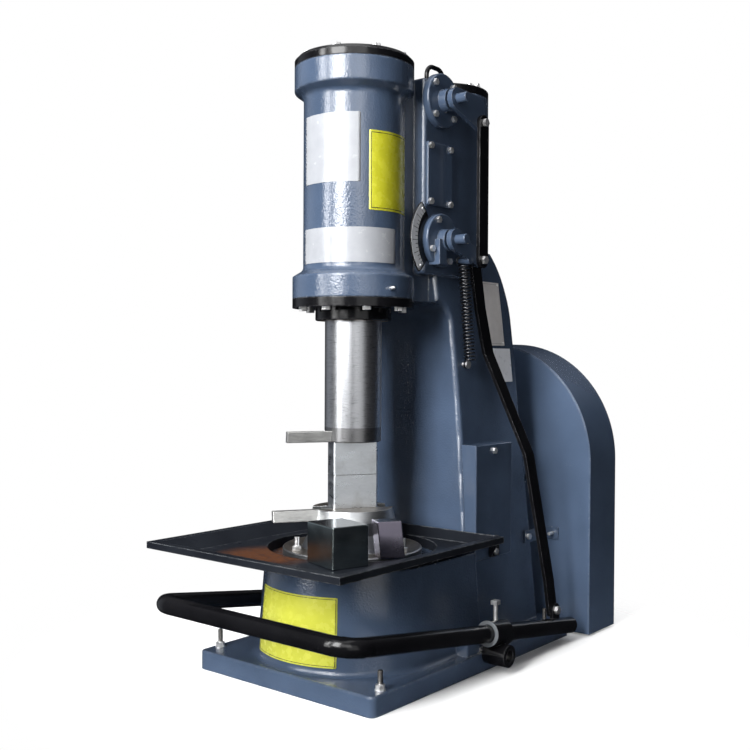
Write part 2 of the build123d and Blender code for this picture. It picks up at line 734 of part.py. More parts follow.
with frame_casting:
    add(chest.part)
    add(casting_cavities.part, mode=Mode.SUBTRACT)
    add(casting_bolt_holes.part, mode=Mode.SUBTRACT)
export(frame_casting, "frame_casting")

# Caps of the two barrels, and the bolts of the caps and the gland
with BuildPart() as ram_cylinder_cap:
    with BuildSketch(level_plane(BARREL_TOP)):
        Circle(TOP_FLANGE_RADIUS)
    extrude(amount=CAP_THICKNESS)
    chamfer(ram_cylinder_cap.faces().sort_by(Axis.Z)[-1].edges(), length=CAP_CHAMFER)
    with BuildSketch(*cap_bolt_planes):
        Circle(M10_RADIUS + BOLT_HOLE_GAP)
    extrude(amount=-CAP_THICKNESS, mode=Mode.SUBTRACT)
export(ram_cylinder_cap, "ram_cylinder_cap")

oil_plug_plane = Plane(origin=(OIL_PLUG_X, OIL_PLUG_Y, compressor_cap_top))
with BuildPart() as compressor_cap:
    with BuildSketch(level_plane(COMPRESSOR_TOP)):
        with Locations((0, COMPRESSOR_Y)):
            Circle(COMPRESSOR_RADIUS)
    extrude(amount=COMPRESSOR_CAP_THICKNESS)
    fillet(compressor_cap.faces().sort_by(Axis.Z)[-1].edges(), radius=BASE_EDGE)
    with BuildSketch(*compressor_bolt_planes, oil_plug_plane):
        Circle(M8_RADIUS + BOLT_HOLE_GAP)
    extrude(amount=-COMPRESSOR_CAP_THICKNESS, mode=Mode.SUBTRACT)
export(compressor_cap, "compressor_cap")

ram_cap_bolts = hex_bolts(cap_bolt_planes, M10_RADIUS, M10_FLATS, M10_HEAD, CAP_THICKNESS + CAP_BOLT_GRIP)
compressor_cap_bolts = hex_bolts(
    compressor_bolt_planes, M8_RADIUS, M8_FLATS, M8_HEAD, COMPRESSOR_CAP_THICKNESS + CAP_BOLT_GRIP
)
gland_bolts = hex_bolts(gland_bolt_planes, M10_RADIUS, M10_FLATS, M10_HEAD, GLAND_THICKNESS + CAP_BOLT_GRIP)
with BuildPart() as barrel_bolts:
    add(ram_cap_bolts.part)
    add(compressor_cap_bolts.part)
    add(gland_bolts.part)
export(barrel_bolts, "barrel_bolts")

# Oil fittings: a plug with a round cup on the compressor cap, and a nipple on the lower flange
nipple_turn = math.radians(NIPPLE_TURN)
nipple_way = Vector(math.cos(nipple_turn), math.sin(nipple_turn), 0)
nipple_foot = nipple_way * BOTTOM_FLANGE_RADIUS + Vector(0, 0, NIPPLE_Z)
with BuildPart() as oil_fittings:
    with BuildSketch(oil_plug_plane):
        RegularPolygon(radius=M10_FLATS / 2, side_count=6, major_radius=False)
    extrude(amount=M10_HEAD)
    with BuildSketch(oil_plug_plane.offset(M10_HEAD)):
        Circle(M10_HEAD)
    extrude(amount=M10_HEAD)
    fillet(oil_fittings.faces().sort_by(Axis.Z)[-1].edges(), radius=2)
    with BuildSketch(oil_plug_plane):
        Circle(M8_RADIUS)
    extrude(amount=-COMPRESSOR_CAP_THICKNESS / 2)
    with BuildSketch(Plane(origin=nipple_foot, z_dir=nipple_way)):
        Circle(NIPPLE_RADIUS)
    extrude(amount=NIPPLE_LENGTH)
    with Locations(nipple_foot + nipple_way * (NIPPLE_LENGTH + NIPPLE_RADIUS / 2)):
        Sphere(NIPPLE_RADIUS)
export(oil_fittings, "oil_fittings")

# Lifting loops on top of the valve chest
with BuildPart() as lifting_loops:
    for x in (-LOOP_X, LOOP_X):
        near_y = LOOP_Y - LOOP_WIDTH / 2 + LOOP_WIRE
        far_y = LOOP_Y + LOOP_WIDTH / 2 - LOOP_WIRE
        loop_foot_z = CHEST_TOP - LOOP_FOOT + 1
        loop_top_z = LOOP_TOP - LOOP_WIRE
        with BuildLine(side_plane(x)) as loop_path:
            FilletPolyline(
                (near_y, loop_foot_z),
                (near_y, loop_top_z),
                (far_y, loop_top_z),
                (far_y, loop_foot_z),
                radius=LOOP_BEND,
            )
        with BuildSketch(Plane(origin=(x, near_y, loop_foot_z))):
            Circle(LOOP_WIRE)
        sweep(path=loop_path.line)
export(lifting_loops, "lifting_loops")

# Gland housing under the ram barrel, and the guide bush inside
with BuildPart() as gland_housing:
    with BuildSketch(Plane.XZ):
        with BuildLine():
            Polyline(
                (BORE_RADIUS, gland_bottom - GLAND_COLLAR_HEIGHT),
                (GLAND_COLLAR_RADIUS - 2, gland_bottom - GLAND_COLLAR_HEIGHT),
                (GLAND_COLLAR_RADIUS, gland_bottom - GLAND_COLLAR_HEIGHT + 2),
                (GLAND_COLLAR_RADIUS, gland_bottom),
                (GLAND_RADIUS, gland_bottom),
                (GLAND_RADIUS, BARREL_BOTTOM),
                (BORE_RADIUS, BARREL_BOTTOM),
                close=True,
            )
        make_face()
    revolve(axis=Axis.Z)
    with BuildSketch(*gland_bolt_planes):
        Circle(M10_RADIUS + BOLT_HOLE_GAP)
    extrude(amount=-GLAND_THICKNESS, mode=Mode.SUBTRACT)
export(gland_housing, "gland_housing")

bush_bottom = gland_bottom - GLAND_COLLAR_HEIGHT
with BuildPart() as guide_bush:
    with BuildSketch(level_plane(bush_bottom)):
        Circle(BORE_RADIUS - SEAT_GAP)
        Circle(RAM_RADIUS + RUNNING_FIT, mode=Mode.SUBTRACT)
    extrude(amount=BUSH_TOP - bush_bottom)
export(guide_bush, "guide_bush")

# Ram: rod and piston in one, with a dovetail slot across its lower end
piston_top = RAM_PISTON_BOTTOM + RAM_PISTON_LENGTH
piston_radius = BORE_RADIUS - RUNNING_FIT
ring_middles = [
    piston_top - RING_SPACING * (index + 1) for index in range(RING_COUNT)
]
slot_reach = 2 * RAM_RADIUS
with BuildPart() as ram:
    with BuildSketch(level_plane(RAM_BOTTOM)):
        Circle(RAM_RADIUS)
    extrude(amount=RAM_PISTON_BOTTOM - RAM_BOTTOM)
    chamfer(ram.faces().sort_by(Axis.Z)[0].edges(), length=2)
    with BuildSketch(level_plane(RAM_PISTON_BOTTOM)):
        Circle(piston_radius)
    extrude(amount=RAM_PISTON_LENGTH)
    for z in ring_middles:
        with BuildSketch(level_plane(z - RING_HEIGHT / 2)):
            Circle(piston_radius)
            Circle(piston_radius - RING_DEPTH, mode=Mode.SUBTRACT)
        extrude(amount=RING_HEIGHT, mode=Mode.SUBTRACT)
    with BuildSketch(die_section(RAM_BOTTOM, slot_reach)):
        with BuildLine():
            Polyline(
                (-SLOT_HALF, 0),
                (SLOT_HALF, 0),
                (SLOT_HALF + slot_lean, SLOT_DEPTH),
                (-SLOT_HALF - slot_lean, SLOT_DEPTH),
                close=True,
            )
        make_face()
    extrude(amount=2 * slot_reach, mode=Mode.SUBTRACT)
export(ram, "ram")

with BuildPart() as ram_piston_rings:
    for z in ring_middles:
        with BuildSketch(level_plane(z - RING_HEIGHT / 2)):
            Circle(BORE_RADIUS - RUNNING_FIT / 2)
            Circle(piston_radius - RING_DEPTH, mode=Mode.SUBTRACT)
        extrude(amount=RING_HEIGHT)
export(ram_piston_rings, "ram_piston_rings")

# Dies with dovetail tails, each held in its slot by a long wedge
def die_with_tail(seat_z, face_z):
    into_slot = 1 if seat_z > face_z else -1
    with BuildPart() as die:
        with BuildSketch(die_plan(min(seat_z, face_z))):
            Rectangle(DIE_LENGTH, DIE_WIDTH)
        extrude(amount=abs(seat_z - face_z))
        chamfer(die.edges().filter_by(Axis.Z), length=BLOCK_CHAMFER)
        with BuildSketch(die_section(seat_z, DIE_LENGTH / 2)):
            with BuildLine():
                Polyline(
                    (-SLOT_HALF, 0),
                    (wedge_left, 0),
                    (wedge_left + slot_lean, into_slot * SLOT_DEPTH),
                    (-SLOT_HALF - slot_lean, into_slot * SLOT_DEPTH),
                    close=True,
                )
            make_face()
        extrude(amount=DIE_LENGTH)
    return die


def slot_wedge(seat_z, into_slot, reach):
    with BuildPart() as wedge:
        with BuildSketch(die_section(seat_z, WEDGE_TAIL)):
            with BuildLine():
                Polyline(
                    (wedge_left, 0),
                    (SLOT_HALF, 0),
                    (SLOT_HALF + slot_lean, into_slot * SLOT_DEPTH),
                    (wedge_left + slot_lean, into_slot * SLOT_DEPTH),
                    close=True,
                )
            make_face()
        extrude(amount=WEDGE_TAIL + reach)
    return wedge


upper_die = die_with_tail(RAM_BOTTOM, LOWER_DIE_TOP + DIE_GAP)
export(upper_die, "upper_die")
upper_die_wedge = slot_wedge(RAM_BOTTOM, 1, UPPER_WEDGE_REACH)
export(upper_die_wedge, "upper_die_wedge")
lower_die = die_with_tail(ANVIL_TOP, LOWER_DIE_TOP)
export(lower_die, "lower_die")
lower_die_wedge = slot_wedge(ANVIL_TOP, -1, LOWER_WEDGE_REACH)
export(lower_die_wedge, "lower_die_wedge")

# Anvil with its round flange, let into the pedestal
disc_top = PEDESTAL_TOP + ANVIL_DISC_HEIGHT
anvil_waist = disc_top + (ANVIL_TOP - disc_top) * 0.4
anvil_shoulder = ANVIL_TOP - SLOT_DEPTH
with BuildPart() as anvil:
    with BuildSketch(Plane.XZ):
        with BuildLine():
            Polyline(
                (0, PEDESTAL_TOP - ANVIL_SPIGOT_DEPTH + 2),
                (ANVIL_SPIGOT_RADIUS, PEDESTAL_TOP - ANVIL_SPIGOT_DEPTH + 2),
                (ANVIL_SPIGOT_RADIUS, PEDESTAL_TOP),
                (ANVIL_DISC_RADIUS, PEDESTAL_TOP),
                (ANVIL_DISC_RADIUS, disc_top - 2),
                (ANVIL_DISC_RADIUS - 2, disc_top),
                (ANVIL_FOOT_RADIUS, disc_top),
                (ANVIL_BODY_RADIUS, anvil_waist),
                (ANVIL_BODY_RADIUS, anvil_shoulder),
                (ANVIL_TOP_RADIUS, ANVIL_TOP),
                (0, ANVIL_TOP),
                close=True,
            )
        make_face()
    revolve(axis=Axis.Z)
    with BuildSketch(die_section(ANVIL_TOP, 2 * ANVIL_BODY_RADIUS)):
        with BuildLine():
            Polyline(
                (-SLOT_HALF, 0),
                (SLOT_HALF, 0),
                (SLOT_HALF + slot_lean, -SLOT_DEPTH),
                (-SLOT_HALF - slot_lean, -SLOT_DEPTH),
                close=True,
            )
        make_face()
    extrude(amount=4 * ANVIL_BODY_RADIUS, mode=Mode.SUBTRACT)
    with BuildSketch(level_plane(disc_top)):
        with Locations(*anvil_stud_points):
            Circle(M10_RADIUS + BOLT_HOLE_GAP)
    extrude(amount=-ANVIL_DISC_HEIGHT, mode=Mode.SUBTRACT)
export(anvil, "anvil")

with BuildPart() as anvil_studs:
    with BuildSketch(level_plane(PEDESTAL_TOP - CAP_BOLT_GRIP)):
        with Locations(*anvil_stud_points):
            Circle(M10_RADIUS)
    extrude(amount=ANVIL_STUD_TOP - PEDESTAL_TOP + CAP_BOLT_GRIP)
    with BuildSketch(level_plane(disc_top)):
        with Locations(*anvil_stud_points):
            RegularPolygon(radius=M10_FLATS / 2, side_count=6, major_radius=False)
    extrude(amount=ANVIL_NUT)
export(anvil_studs, "anvil_studs")

# Loose die blocks: one square on the floor, one with raked sides
tray_floor_top = TRAY_FLOOR_Z + TRAY_SHEET
with BuildPart() as loose_die_block:
    with BuildSketch(Plane(origin=(BLOCK_X, BLOCK_Y, tray_floor_top)).rotated((0, 0, BLOCK_TURN))):
        Rectangle(BLOCK_LENGTH, BLOCK_WIDTH)
    extrude(amount=BLOCK_HEIGHT)
    chamfer(loose_die_block.edges(), length=BLOCK_CHAMFER / 2)
export(loose_die_block, "loose_die_block")

plate_rake = PLATE_HEIGHT * math.tan(math.radians(PLATE_LEAN))
plate_turn = math.radians(PLATE_TURN)
plate_along = Vector(math.cos(plate_turn), math.sin(plate_turn), 0)
plate_start = Vector(PLATE_X, PLATE_Y, tray_floor_top)
with BuildPart() as loose_die_plate:
    with BuildSketch(Plane(origin=plate_start, x_dir=plate_along, z_dir=(-plate_along.Y, plate_along.X, 0))):
        with BuildLine():
            Polyline(
                (-PLATE_LENGTH / 2, 0),
                (PLATE_LENGTH / 2, 0),
                (PLATE_LENGTH / 2 - plate_rake, -PLATE_HEIGHT),
                (-PLATE_LENGTH / 2 - plate_rake, -PLATE_HEIGHT),
                close=True,
            )
        make_face()
    extrude(amount=PLATE_WIDTH / 2, both=True)
    chamfer(loose_die_plate.edges(), length=BLOCK_CHAMFER / 2)
export(loose_die_plate, "loose_die_plate")

# Scale tray: sloping sheet with a folded lip and a collar that stands on the pedestal
tray_rise = TRAY_RIM_Z - TRAY_FLOOR_Z
tray_sheet_up = TRAY_SHEET * math.hypot(tray_rise, TRAY_SLOPE) / TRAY_SLOPE
collar_radius = TRAY_HOLE_RADIUS


def tray_rectangle(z, lift):
    part_up = (z - lift - TRAY_FLOOR_Z) / tray_rise
    inset = TRAY_SLOPE * (1 - part_up)
    back_inset = TRAY_BACK_SLOPE * (1 - part_up)
    front = TRAY_FRONT + inset
    back = TRAY_BACK - back_inset - (TRAY_SHEET if lift else 0)
    with BuildSketch(level_plane(z)) as outline:
        with Locations((0, (front + back) / 2)):
            Rectangle(2 * (TRAY_HALF_WIDTH - inset), back - front)
    return outline.sketch


def lip_rectangle(z, inset):
    width = 2 * (TRAY_HALF_WIDTH + TRAY_LIP - inset)
    front = TRAY_FRONT - TRAY_LIP + inset
    with BuildSketch(level_plane(z)) as outline:
        with Locations((0, (front + TRAY_BACK) / 2)):
            Rectangle(width, TRAY_BACK - front)
    return outline.sketch


with BuildPart() as tray_inside:
    loft([tray_rectangle(tray_floor_top, tray_sheet_up), tray_rectangle(TRAY_RIM_Z, tray_sheet_up)])
with BuildPart() as tray_under_lip:
    add(lip_rectangle(TRAY_RIM_Z - TRAY_LIP_DROP, TRAY_SHEET))
    extrude(amount=TRAY_LIP_DROP - TRAY_SHEET)
    loft([tray_rectangle(TRAY_FLOOR_Z, 0), tray_rectangle(TRAY_RIM_Z, 0)], mode=Mode.SUBTRACT)
with BuildPart() as scale_tray:
    loft([tray_rectangle(TRAY_FLOOR_Z, 0), tray_rectangle(TRAY_RIM_Z, 0)])
    add(lip_rectangle(TRAY_RIM_Z - TRAY_LIP_DROP, 0))
    extrude(amount=TRAY_LIP_DROP)
    add(tray_under_lip.part, mode=Mode.SUBTRACT)
    add(tray_inside.part, mode=Mode.SUBTRACT)
    with BuildSketch(level_plane(PEDESTAL_TOP)):
        Circle(collar_radius)
    extrude(amount=tray_floor_top - PEDESTAL_TOP)
    with BuildSketch(level_plane(PEDESTAL_TOP)):
        Circle(collar_radius - TRAY_COLLAR_WALL)
    extrude(amount=TRAY_RIM_Z - PEDESTAL_TOP, mode=Mode.SUBTRACT)
export(scale_tray, "scale_tray")

# Straps that tie the rear corners of the tray to the cover and to the column
strap_low = cover_bolt_heights[0]
strap_tab_start = cover_bolt_y - STRAP_TAB / 2
strap_tab_end = cover_bolt_y + STRAP_TAB / 2
strap_back = TRAY_BACK + STRAP_THICKNESS / 2
strap_faces = {1: COVER_OUTER, -1: COLUMN_LOW_HALF + 1}
with BuildPart() as tray_straps:
    for side, face in strap_faces.items():
        with BuildSketch(level_plane(strap_low - STRAP_HEIGHT)):
            with BuildLine():
                Polyline(
                    (side * (TRAY_HALF_WIDTH - STRAP_TAB), strap_back),
                    (side * (TRAY_HALF_WIDTH - STRAP_THICKNESS), strap_back),
                    (side * (face + STRAP_THICKNESS / 2), strap_tab_start),
                    (side * (face + STRAP_THICKNESS / 2), strap_tab_end),
                )
            trace(line_width=STRAP_THICKNESS)
        extrude(amount=TRAY_RIM_Z - strap_low + STRAP_HEIGHT)
    with BuildSketch(Plane.YZ):
        with BuildLine():
            Polyline(
                (TRAY_BACK, TRAY_RIM_Z - STRAP_HEIGHT),
                (TRAY_BACK + 2 * STRAP_THICKNESS, TRAY_RIM_Z - STRAP_HEIGHT),
                (strap_tab_start, strap_low - STRAP_HEIGHT / 2),
                (strap_tab_end, strap_low - STRAP_HEIGHT / 2),
                (strap_tab_end, strap_low + STRAP_HEIGHT / 2),
                (strap_tab_start, strap_low + STRAP_HEIGHT / 2),
                (TRAY_BACK + 2 * STRAP_THICKNESS, TRAY_RIM_Z),
                (TRAY_BACK, TRAY_RIM_Z),
                close=True,
            )
        make_face()
    extrude(amount=TRAY_HALF_WIDTH, both=True, mode=Mode.INTERSECT)
    with BuildSketch(side_point(-BASE_HALF_WIDTH, cover_bolt_y, strap_low)):
        Circle(M8_RADIUS + BOLT_HOLE_GAP)
    extrude(amount=2 * BASE_HALF_WIDTH, mode=Mode.SUBTRACT)
export(tray_straps, "tray_straps")

# Side cover over the crankcase opening
with BuildPart() as side_cover:
    with BuildSketch(level_plane(COVER_BOTTOM)):
        with Locations((COVER_OUTER / 2, COLUMN_FRONT + COVER_FRONT_GAP + COVER_LENGTH / 2)):
            Rectangle(COVER_OUTER, COVER_LENGTH)
    extrude(amount=COVER_TOP - COVER_BOTTOM)
    outer_edges = side_cover.faces().sort_by(Axis.X)[-1].edges()
    fillet(outer_edges, radius=COVER_WALL / 2)
    add(column_sides.part, mode=Mode.SUBTRACT)
    with BuildSketch(level_plane(ACCESS_BOTTOM)):
        with Locations((COVER_OUTER / 2 - COVER_WALL, COLUMN_FRONT + ACCESS_INSET + ACCESS_LENGTH / 2)):
            Rectangle(COVER_OUTER, ACCESS_LENGTH)
    extrude(amount=ACCESS_TOP - ACCESS_BOTTOM, mode=Mode.SUBTRACT)
    with BuildSketch(*[side_point(COVER_OUTER, cover_bolt_y, z) for z in cover_bolt_heights]):
        Circle(M8_RADIUS + BOLT_HOLE_GAP)
    extrude(amount=-COVER_OUTER, mode=Mode.SUBTRACT)
export(side_cover, "side_cover")

cover_bolt_planes = [
    side_point(COVER_OUTER + STRAP_THICKNESS, cover_bolt_y, cover_bolt_heights[0]),
    side_point(COVER_OUTER, cover_bolt_y, cover_bolt_heights[1]),
]
strap_bolt_plane = Plane(
    origin=(-COLUMN_LOW_HALF - 1 - STRAP_THICKNESS, cover_bolt_y, strap_low),
    x_dir=(0, 1, 0),
    z_dir=(-1, 0, 0),
)
right_bolts = hex_bolts(
    cover_bolt_planes, M8_RADIUS, M8_FLATS, M8_HEAD, COVER_OUTER - COLUMN_MID_HALF + CAP_BOLT_GRIP / 2
)
left_strap_bolt = hex_bolts([strap_bolt_plane], M8_RADIUS, M8_FLATS, M8_HEAD, CAP_BOLT_GRIP)
with BuildPart() as cover_and_strap_bolts:
    add(right_bolts.part)
    add(left_strap_bolt.part)
export(cover_and_strap_bolts, "cover_and_strap_bolts")

# Treadle: one bent pipe in a plane that slopes down to the rear
treadle_pitch = math.radians(TREADLE_PITCH)
treadle_plane = Plane(
    origin=(0, TREADLE_FRONT_Y, TREADLE_FRONT_Z),
    x_dir=(1, 0, 0),
    z_dir=(0, math.sin(treadle_pitch), math.cos(treadle_pitch)),
)
treadle_back = Vector(0, math.cos(treadle_pitch), -math.sin(treadle_pitch))


def treadle_run(y):
    return (y - TREADLE_FRONT_Y) / math.cos(treadle_pitch)


def treadle_height(y):
    return TREADLE_FRONT_Z - (y - TREADLE_FRONT_Y) * math.tan(treadle_pitch)


lug_top = TREADLE_LINK_Z - treadle_height(TREADLE_LINK_Y)
with BuildPart() as treadle_pipe:
    with BuildLine(treadle_plane) as treadle_path:
        FilletPolyline(
            (-TREADLE_ARM_X, treadle_run(TREADLE_LEFT_END)),
            (-TREADLE_ARM_X, 0),
            (TREADLE_ARM_X, 0),
            (TREADLE_ARM_X, treadle_run(TREADLE_RIGHT_END)),
            radius=TREADLE_BEND,
        )
    left_end = (-TREADLE_ARM_X, TREADLE_LEFT_END, treadle_height(TREADLE_LEFT_END))
    with BuildSketch(Plane(origin=left_end, x_dir=(1, 0, 0), z_dir=-treadle_back)):
        Circle(TREADLE_PIPE_RADIUS)
        Circle(TREADLE_PIPE_RADIUS - TREADLE_PIPE_WALL, mode=Mode.SUBTRACT)
    sweep(path=treadle_path.line)
    # Lug for the treadle link, welded on top of the right arm
    lug_plane = side_point(TREADLE_ARM_X - TREADLE_LUG_THICKNESS / 2, TREADLE_LINK_Y, TREADLE_LINK_Z)
    with BuildSketch(lug_plane):
        with Locations((0, -lug_top / 2)):
            Rectangle(2 * TREADLE_LUG_RADIUS, lug_top)
        Circle(TREADLE_LUG_RADIUS)
        Circle(TREADLE_PIN_RADIUS + SEAT_GAP, mode=Mode.SUBTRACT)
    extrude(amount=TREADLE_LUG_THICKNESS)
    right_end = (TREADLE_ARM_X, TREADLE_RIGHT_END, treadle_height(TREADLE_RIGHT_END))
    with BuildSketch(Plane(origin=right_end, x_dir=(1, 0, 0), z_dir=-treadle_back)):
        Circle(TREADLE_PIPE_RADIUS - TREADLE_PIPE_WALL)
    extrude(amount=treadle_run(TREADLE_RIGHT_END) - 2 * TREADLE_BEND, mode=Mode.SUBTRACT)
export(treadle_pipe, "treadle_pipe")

# Clamps on both arms, each with a tube that turns on the cross shaft
with BuildPart() as treadle_clamps:
    clamp_middle = treadle_height(PIVOT_Y)
    for side in (-1, 1):
        clamp_front = Vector(side * TREADLE_ARM_X, PIVOT_Y, clamp_middle) - treadle_back * (CLAMP_LENGTH / 2)
        with BuildSketch(Plane(origin=clamp_front, x_dir=(1, 0, 0), z_dir=treadle_back)):
            Circle(CLAMP_RADIUS)
        extrude(amount=CLAMP_LENGTH)
        tube_length = PIVOT_TUBE_OUTER - BASE_HALF_WIDTH - PIVOT_TUBE_GAP
        tube_start = BASE_HALF_WIDTH + PIVOT_TUBE_GAP if side > 0 else -PIVOT_TUBE_OUTER
        with BuildSketch(side_point(tube_start, PIVOT_Y, PIVOT_Z)):
            Circle(PIVOT_TUBE_RADIUS)
        extrude(amount=tube_length)
        with BuildSketch(side_point(tube_start, PIVOT_Y, PIVOT_Z)):
            Circle(PIVOT_SHAFT_RADIUS + RUNNING_FIT)
        extrude(amount=tube_length, mode=Mode.SUBTRACT)
        with BuildSketch(Plane(origin=clamp_front, x_dir=(1, 0, 0), z_dir=treadle_back)):
            Circle(TREADLE_PIPE_RADIUS + SEAT_GAP)
        extrude(amount=CLAMP_LENGTH, mode=Mode.SUBTRACT)
        with BuildSketch(Plane(origin=(side * TREADLE_ARM_X, PIVOT_Y, clamp_middle))):
            Circle(M10_RADIUS + SEAT_GAP)
        extrude(amount=2 * CLAMP_RADIUS, mode=Mode.SUBTRACT)
export(treadle_clamps, "treadle_clamps")

with BuildPart() as treadle_set_screws:
    screw_bottom = treadle_height(PIVOT_Y) + TREADLE_PIPE_RADIUS + 1.2
    with BuildSketch(level_plane(screw_bottom)):
        with Locations((-TREADLE_ARM_X, PIVOT_Y), (TREADLE_ARM_X, PIVOT_Y)):
            Circle(M10_RADIUS)
    extrude(amount=SET_SCREW_TOP - screw_bottom)
    with BuildSketch(level_plane(SET_SCREW_TOP - SET_SCREW_HEAD)):
        with Locations((-TREADLE_ARM_X, PIVOT_Y), (TREADLE_ARM_X, PIVOT_Y)):
            Rectangle(SET_SCREW_SQUARE, SET_SCREW_SQUARE)
    extrude(amount=SET_SCREW_HEAD)
export(treadle_set_screws, "treadle_set_screws")

with BuildPart() as treadle_shaft:
    with BuildSketch(side_point(-PIVOT_SHAFT_END, PIVOT_Y, PIVOT_Z)):
        Circle(PIVOT_SHAFT_RADIUS)
    extrude(amount=2 * PIVOT_SHAFT_END)
export(treadle_shaft, "treadle_shaft")

# Valve spools, each with a slot for the air and a shaft that carries its lever
def valve_spool(z):
    with BuildPart() as spool:
        with BuildSketch(side_point(SPOOL_INNER + 2, VALVE_Y, z)):
            Circle(SPOOL_RADIUS - RUNNING_FIT)
        extrude(amount=CHEST_HALF_WIDTH - SPOOL_INNER - 3)
        with BuildSketch(side_point(0, VALVE_Y, z)):
            Circle(VALVE_SHAFT_RADIUS)
        extrude(amount=VALVE_SHAFT_END)
        chamfer(spool.faces().sort_by(Axis.X)[-1].edges(), length=1.5)
        with BuildSketch(cross_plane(VALVE_Y)):
            with Locations((0, z)):
                Rectangle(2 * SPOOL_RADIUS, 2 * PORT_RADIUS)
        extrude(amount=SPOOL_RADIUS, both=True, mode=Mode.SUBTRACT)
    return spool


lower_valve_spool = valve_spool(LOWER_VALVE_Z)
export(lower_valve_spool, "lower_valve_spool")
upper_valve_spool = valve_spool(UPPER_VALVE_Z)
export(upper_valve_spool, "upper_valve_spool")

# Valve covers: flange, tapered hub, and a stop lug under the lower one
with BuildPart() as valve_covers:
    for z in (LOWER_VALVE_Z, UPPER_VALVE_Z):
        with BuildSketch(side_point(CHEST_HALF_WIDTH, VALVE_Y, z)):
            Circle(VALVE_FLANGE_RADIUS)
        extrude(amount=VALVE_FLANGE_THICKNESS)
    flange_edges = valve_covers.faces().sort_by(Axis.X).group_by(Axis.X)[-1].edges()
    fillet(flange_edges, radius=BASE_EDGE)
    for z in (LOWER_VALVE_Z, UPPER_VALVE_Z):
        with BuildSketch(side_point(CHEST_HALF_WIDTH, VALVE_Y, z)):
            Circle(VALVE_HUB_RADIUS + BASE_EDGE)
        extrude(amount=VALVE_HUB_END - CHEST_HALF_WIDTH, taper=5)
    with BuildSketch(side_point(CHEST_HALF_WIDTH, VALVE_Y, LOWER_VALVE_Z)):
        with Locations(((-STOP_LUG_FRONT - STOP_LUG_BACK) / 2, -STOP_LUG_DROP / 2)):
            Rectangle(STOP_LUG_FRONT - STOP_LUG_BACK, STOP_LUG_DROP)
    extrude(amount=VALVE_HUB_END - CHEST_HALF_WIDTH - BASE_EDGE)
    with BuildSketch(*[side_point(CHEST_HALF_WIDTH, VALVE_Y, z) for z in (LOWER_VALVE_Z, UPPER_VALVE_Z)]):
        Circle(VALVE_SHAFT_RADIUS + RUNNING_FIT)
    extrude(amount=VALVE_HUB_END - CHEST_HALF_WIDTH, mode=Mode.SUBTRACT)
    with BuildSketch(*lower_valve_bolts, *upper_valve_bolts):
        Circle(M8_RADIUS + BOLT_HOLE_GAP)
    extrude(amount=-VALVE_FLANGE_THICKNESS, mode=Mode.SUBTRACT)
export(valve_covers, "valve_covers")

# Plate between the valves, and the bolts of the chest
with BuildPart() as chest_cover:
    with BuildSketch(side_point(CHEST_HALF_WIDTH, VALVE_Y, (CHEST_PLATE_BOTTOM + CHEST_PLATE_TOP) / 2)):
        RectangleRounded(2 * CHEST_PLATE_HALF, CHEST_PLATE_TOP - CHEST_PLATE_BOTTOM, CHEST_BOLT_INSET / 2)
    extrude(amount=CHEST_PLATE_THICKNESS)
    fillet(chest_cover.faces().sort_by(Axis.X)[-1].edges(), radius=2)
    with BuildSketch(*chest_bolt_planes):
        Circle(M8_RADIUS + BOLT_HOLE_GAP)
    extrude(amount=-CHEST_PLATE_THICKNESS, mode=Mode.SUBTRACT)
export(chest_cover, "chest_cover")

valve_bolt_length = VALVE_FLANGE_THICKNESS + CAP_BOLT_GRIP
valve_cover_bolts = hex_bolts(
    lower_valve_bolts + upper_valve_bolts, M8_RADIUS, M8_FLATS, M8_HEAD, valve_bolt_length
)
chest_cover_bolts = hex_bolts(
    chest_bolt_planes, M8_RADIUS, M8_FLATS, M8_HEAD, CHEST_PLATE_THICKNESS + CAP_BOLT_GRIP
)
with BuildPart() as chest_bolts:
    add(valve_cover_bolts.part)
    add(chest_cover_bolts.part)
export(chest_bolts, "chest_bolts")

# Graduated index plate round the front of the lower valve cover
with BuildPart() as index_plate:
    with BuildSketch(side_point(CHEST_HALF_WIDTH, VALVE_Y, LOWER_VALVE_Z)):
        with BuildLine():
            index_outer = CenterArc((0, 0), INDEX_OUTER_RADIUS, INDEX_FROM, INDEX_TO - INDEX_FROM)
            index_inner = CenterArc((0, 0), INDEX_INNER_RADIUS, INDEX_FROM, INDEX_TO - INDEX_FROM)
            Line(index_outer @ 0, index_inner @ 0)
            Line(index_outer @ 1, index_inner @ 1)
        index_face = make_face()
        fillet(index_face.vertices(), radius=INDEX_CORNER)
    extrude(amount=INDEX_THICKNESS)
export(index_plate, "index_plate")

# Levers on the valve shafts, the upper one a deep flag, the lower one with a peg for the spring
lever_outer = LEVER_INNER + LEVER_THICKNESS
hook_x = SPRING_X - SPRING_COIL_RADIUS
peg_end = hook_x - 2 * SPRING_WIRE_RADIUS


def lever_blank(z, corners):
    with BuildPart() as lever:
        with BuildSketch(side_point(LEVER_INNER, VALVE_Y, z)):
            Circle(LEVER_BOSS_RADIUS)
            with Locations((LEVER_REACH, -LEVER_DROP), *corners):
                Circle(LEVER_EYE_RADIUS)
            make_hull()
            Circle(VALVE_SHAFT_RADIUS + SEAT_GAP, mode=Mode.SUBTRACT)
            with Locations((LEVER_REACH, -LEVER_DROP)):
                Circle(LEVER_PIN_RADIUS + SEAT_GAP, mode=Mode.SUBTRACT)
        extrude(amount=LEVER_THICKNESS)
    return lever


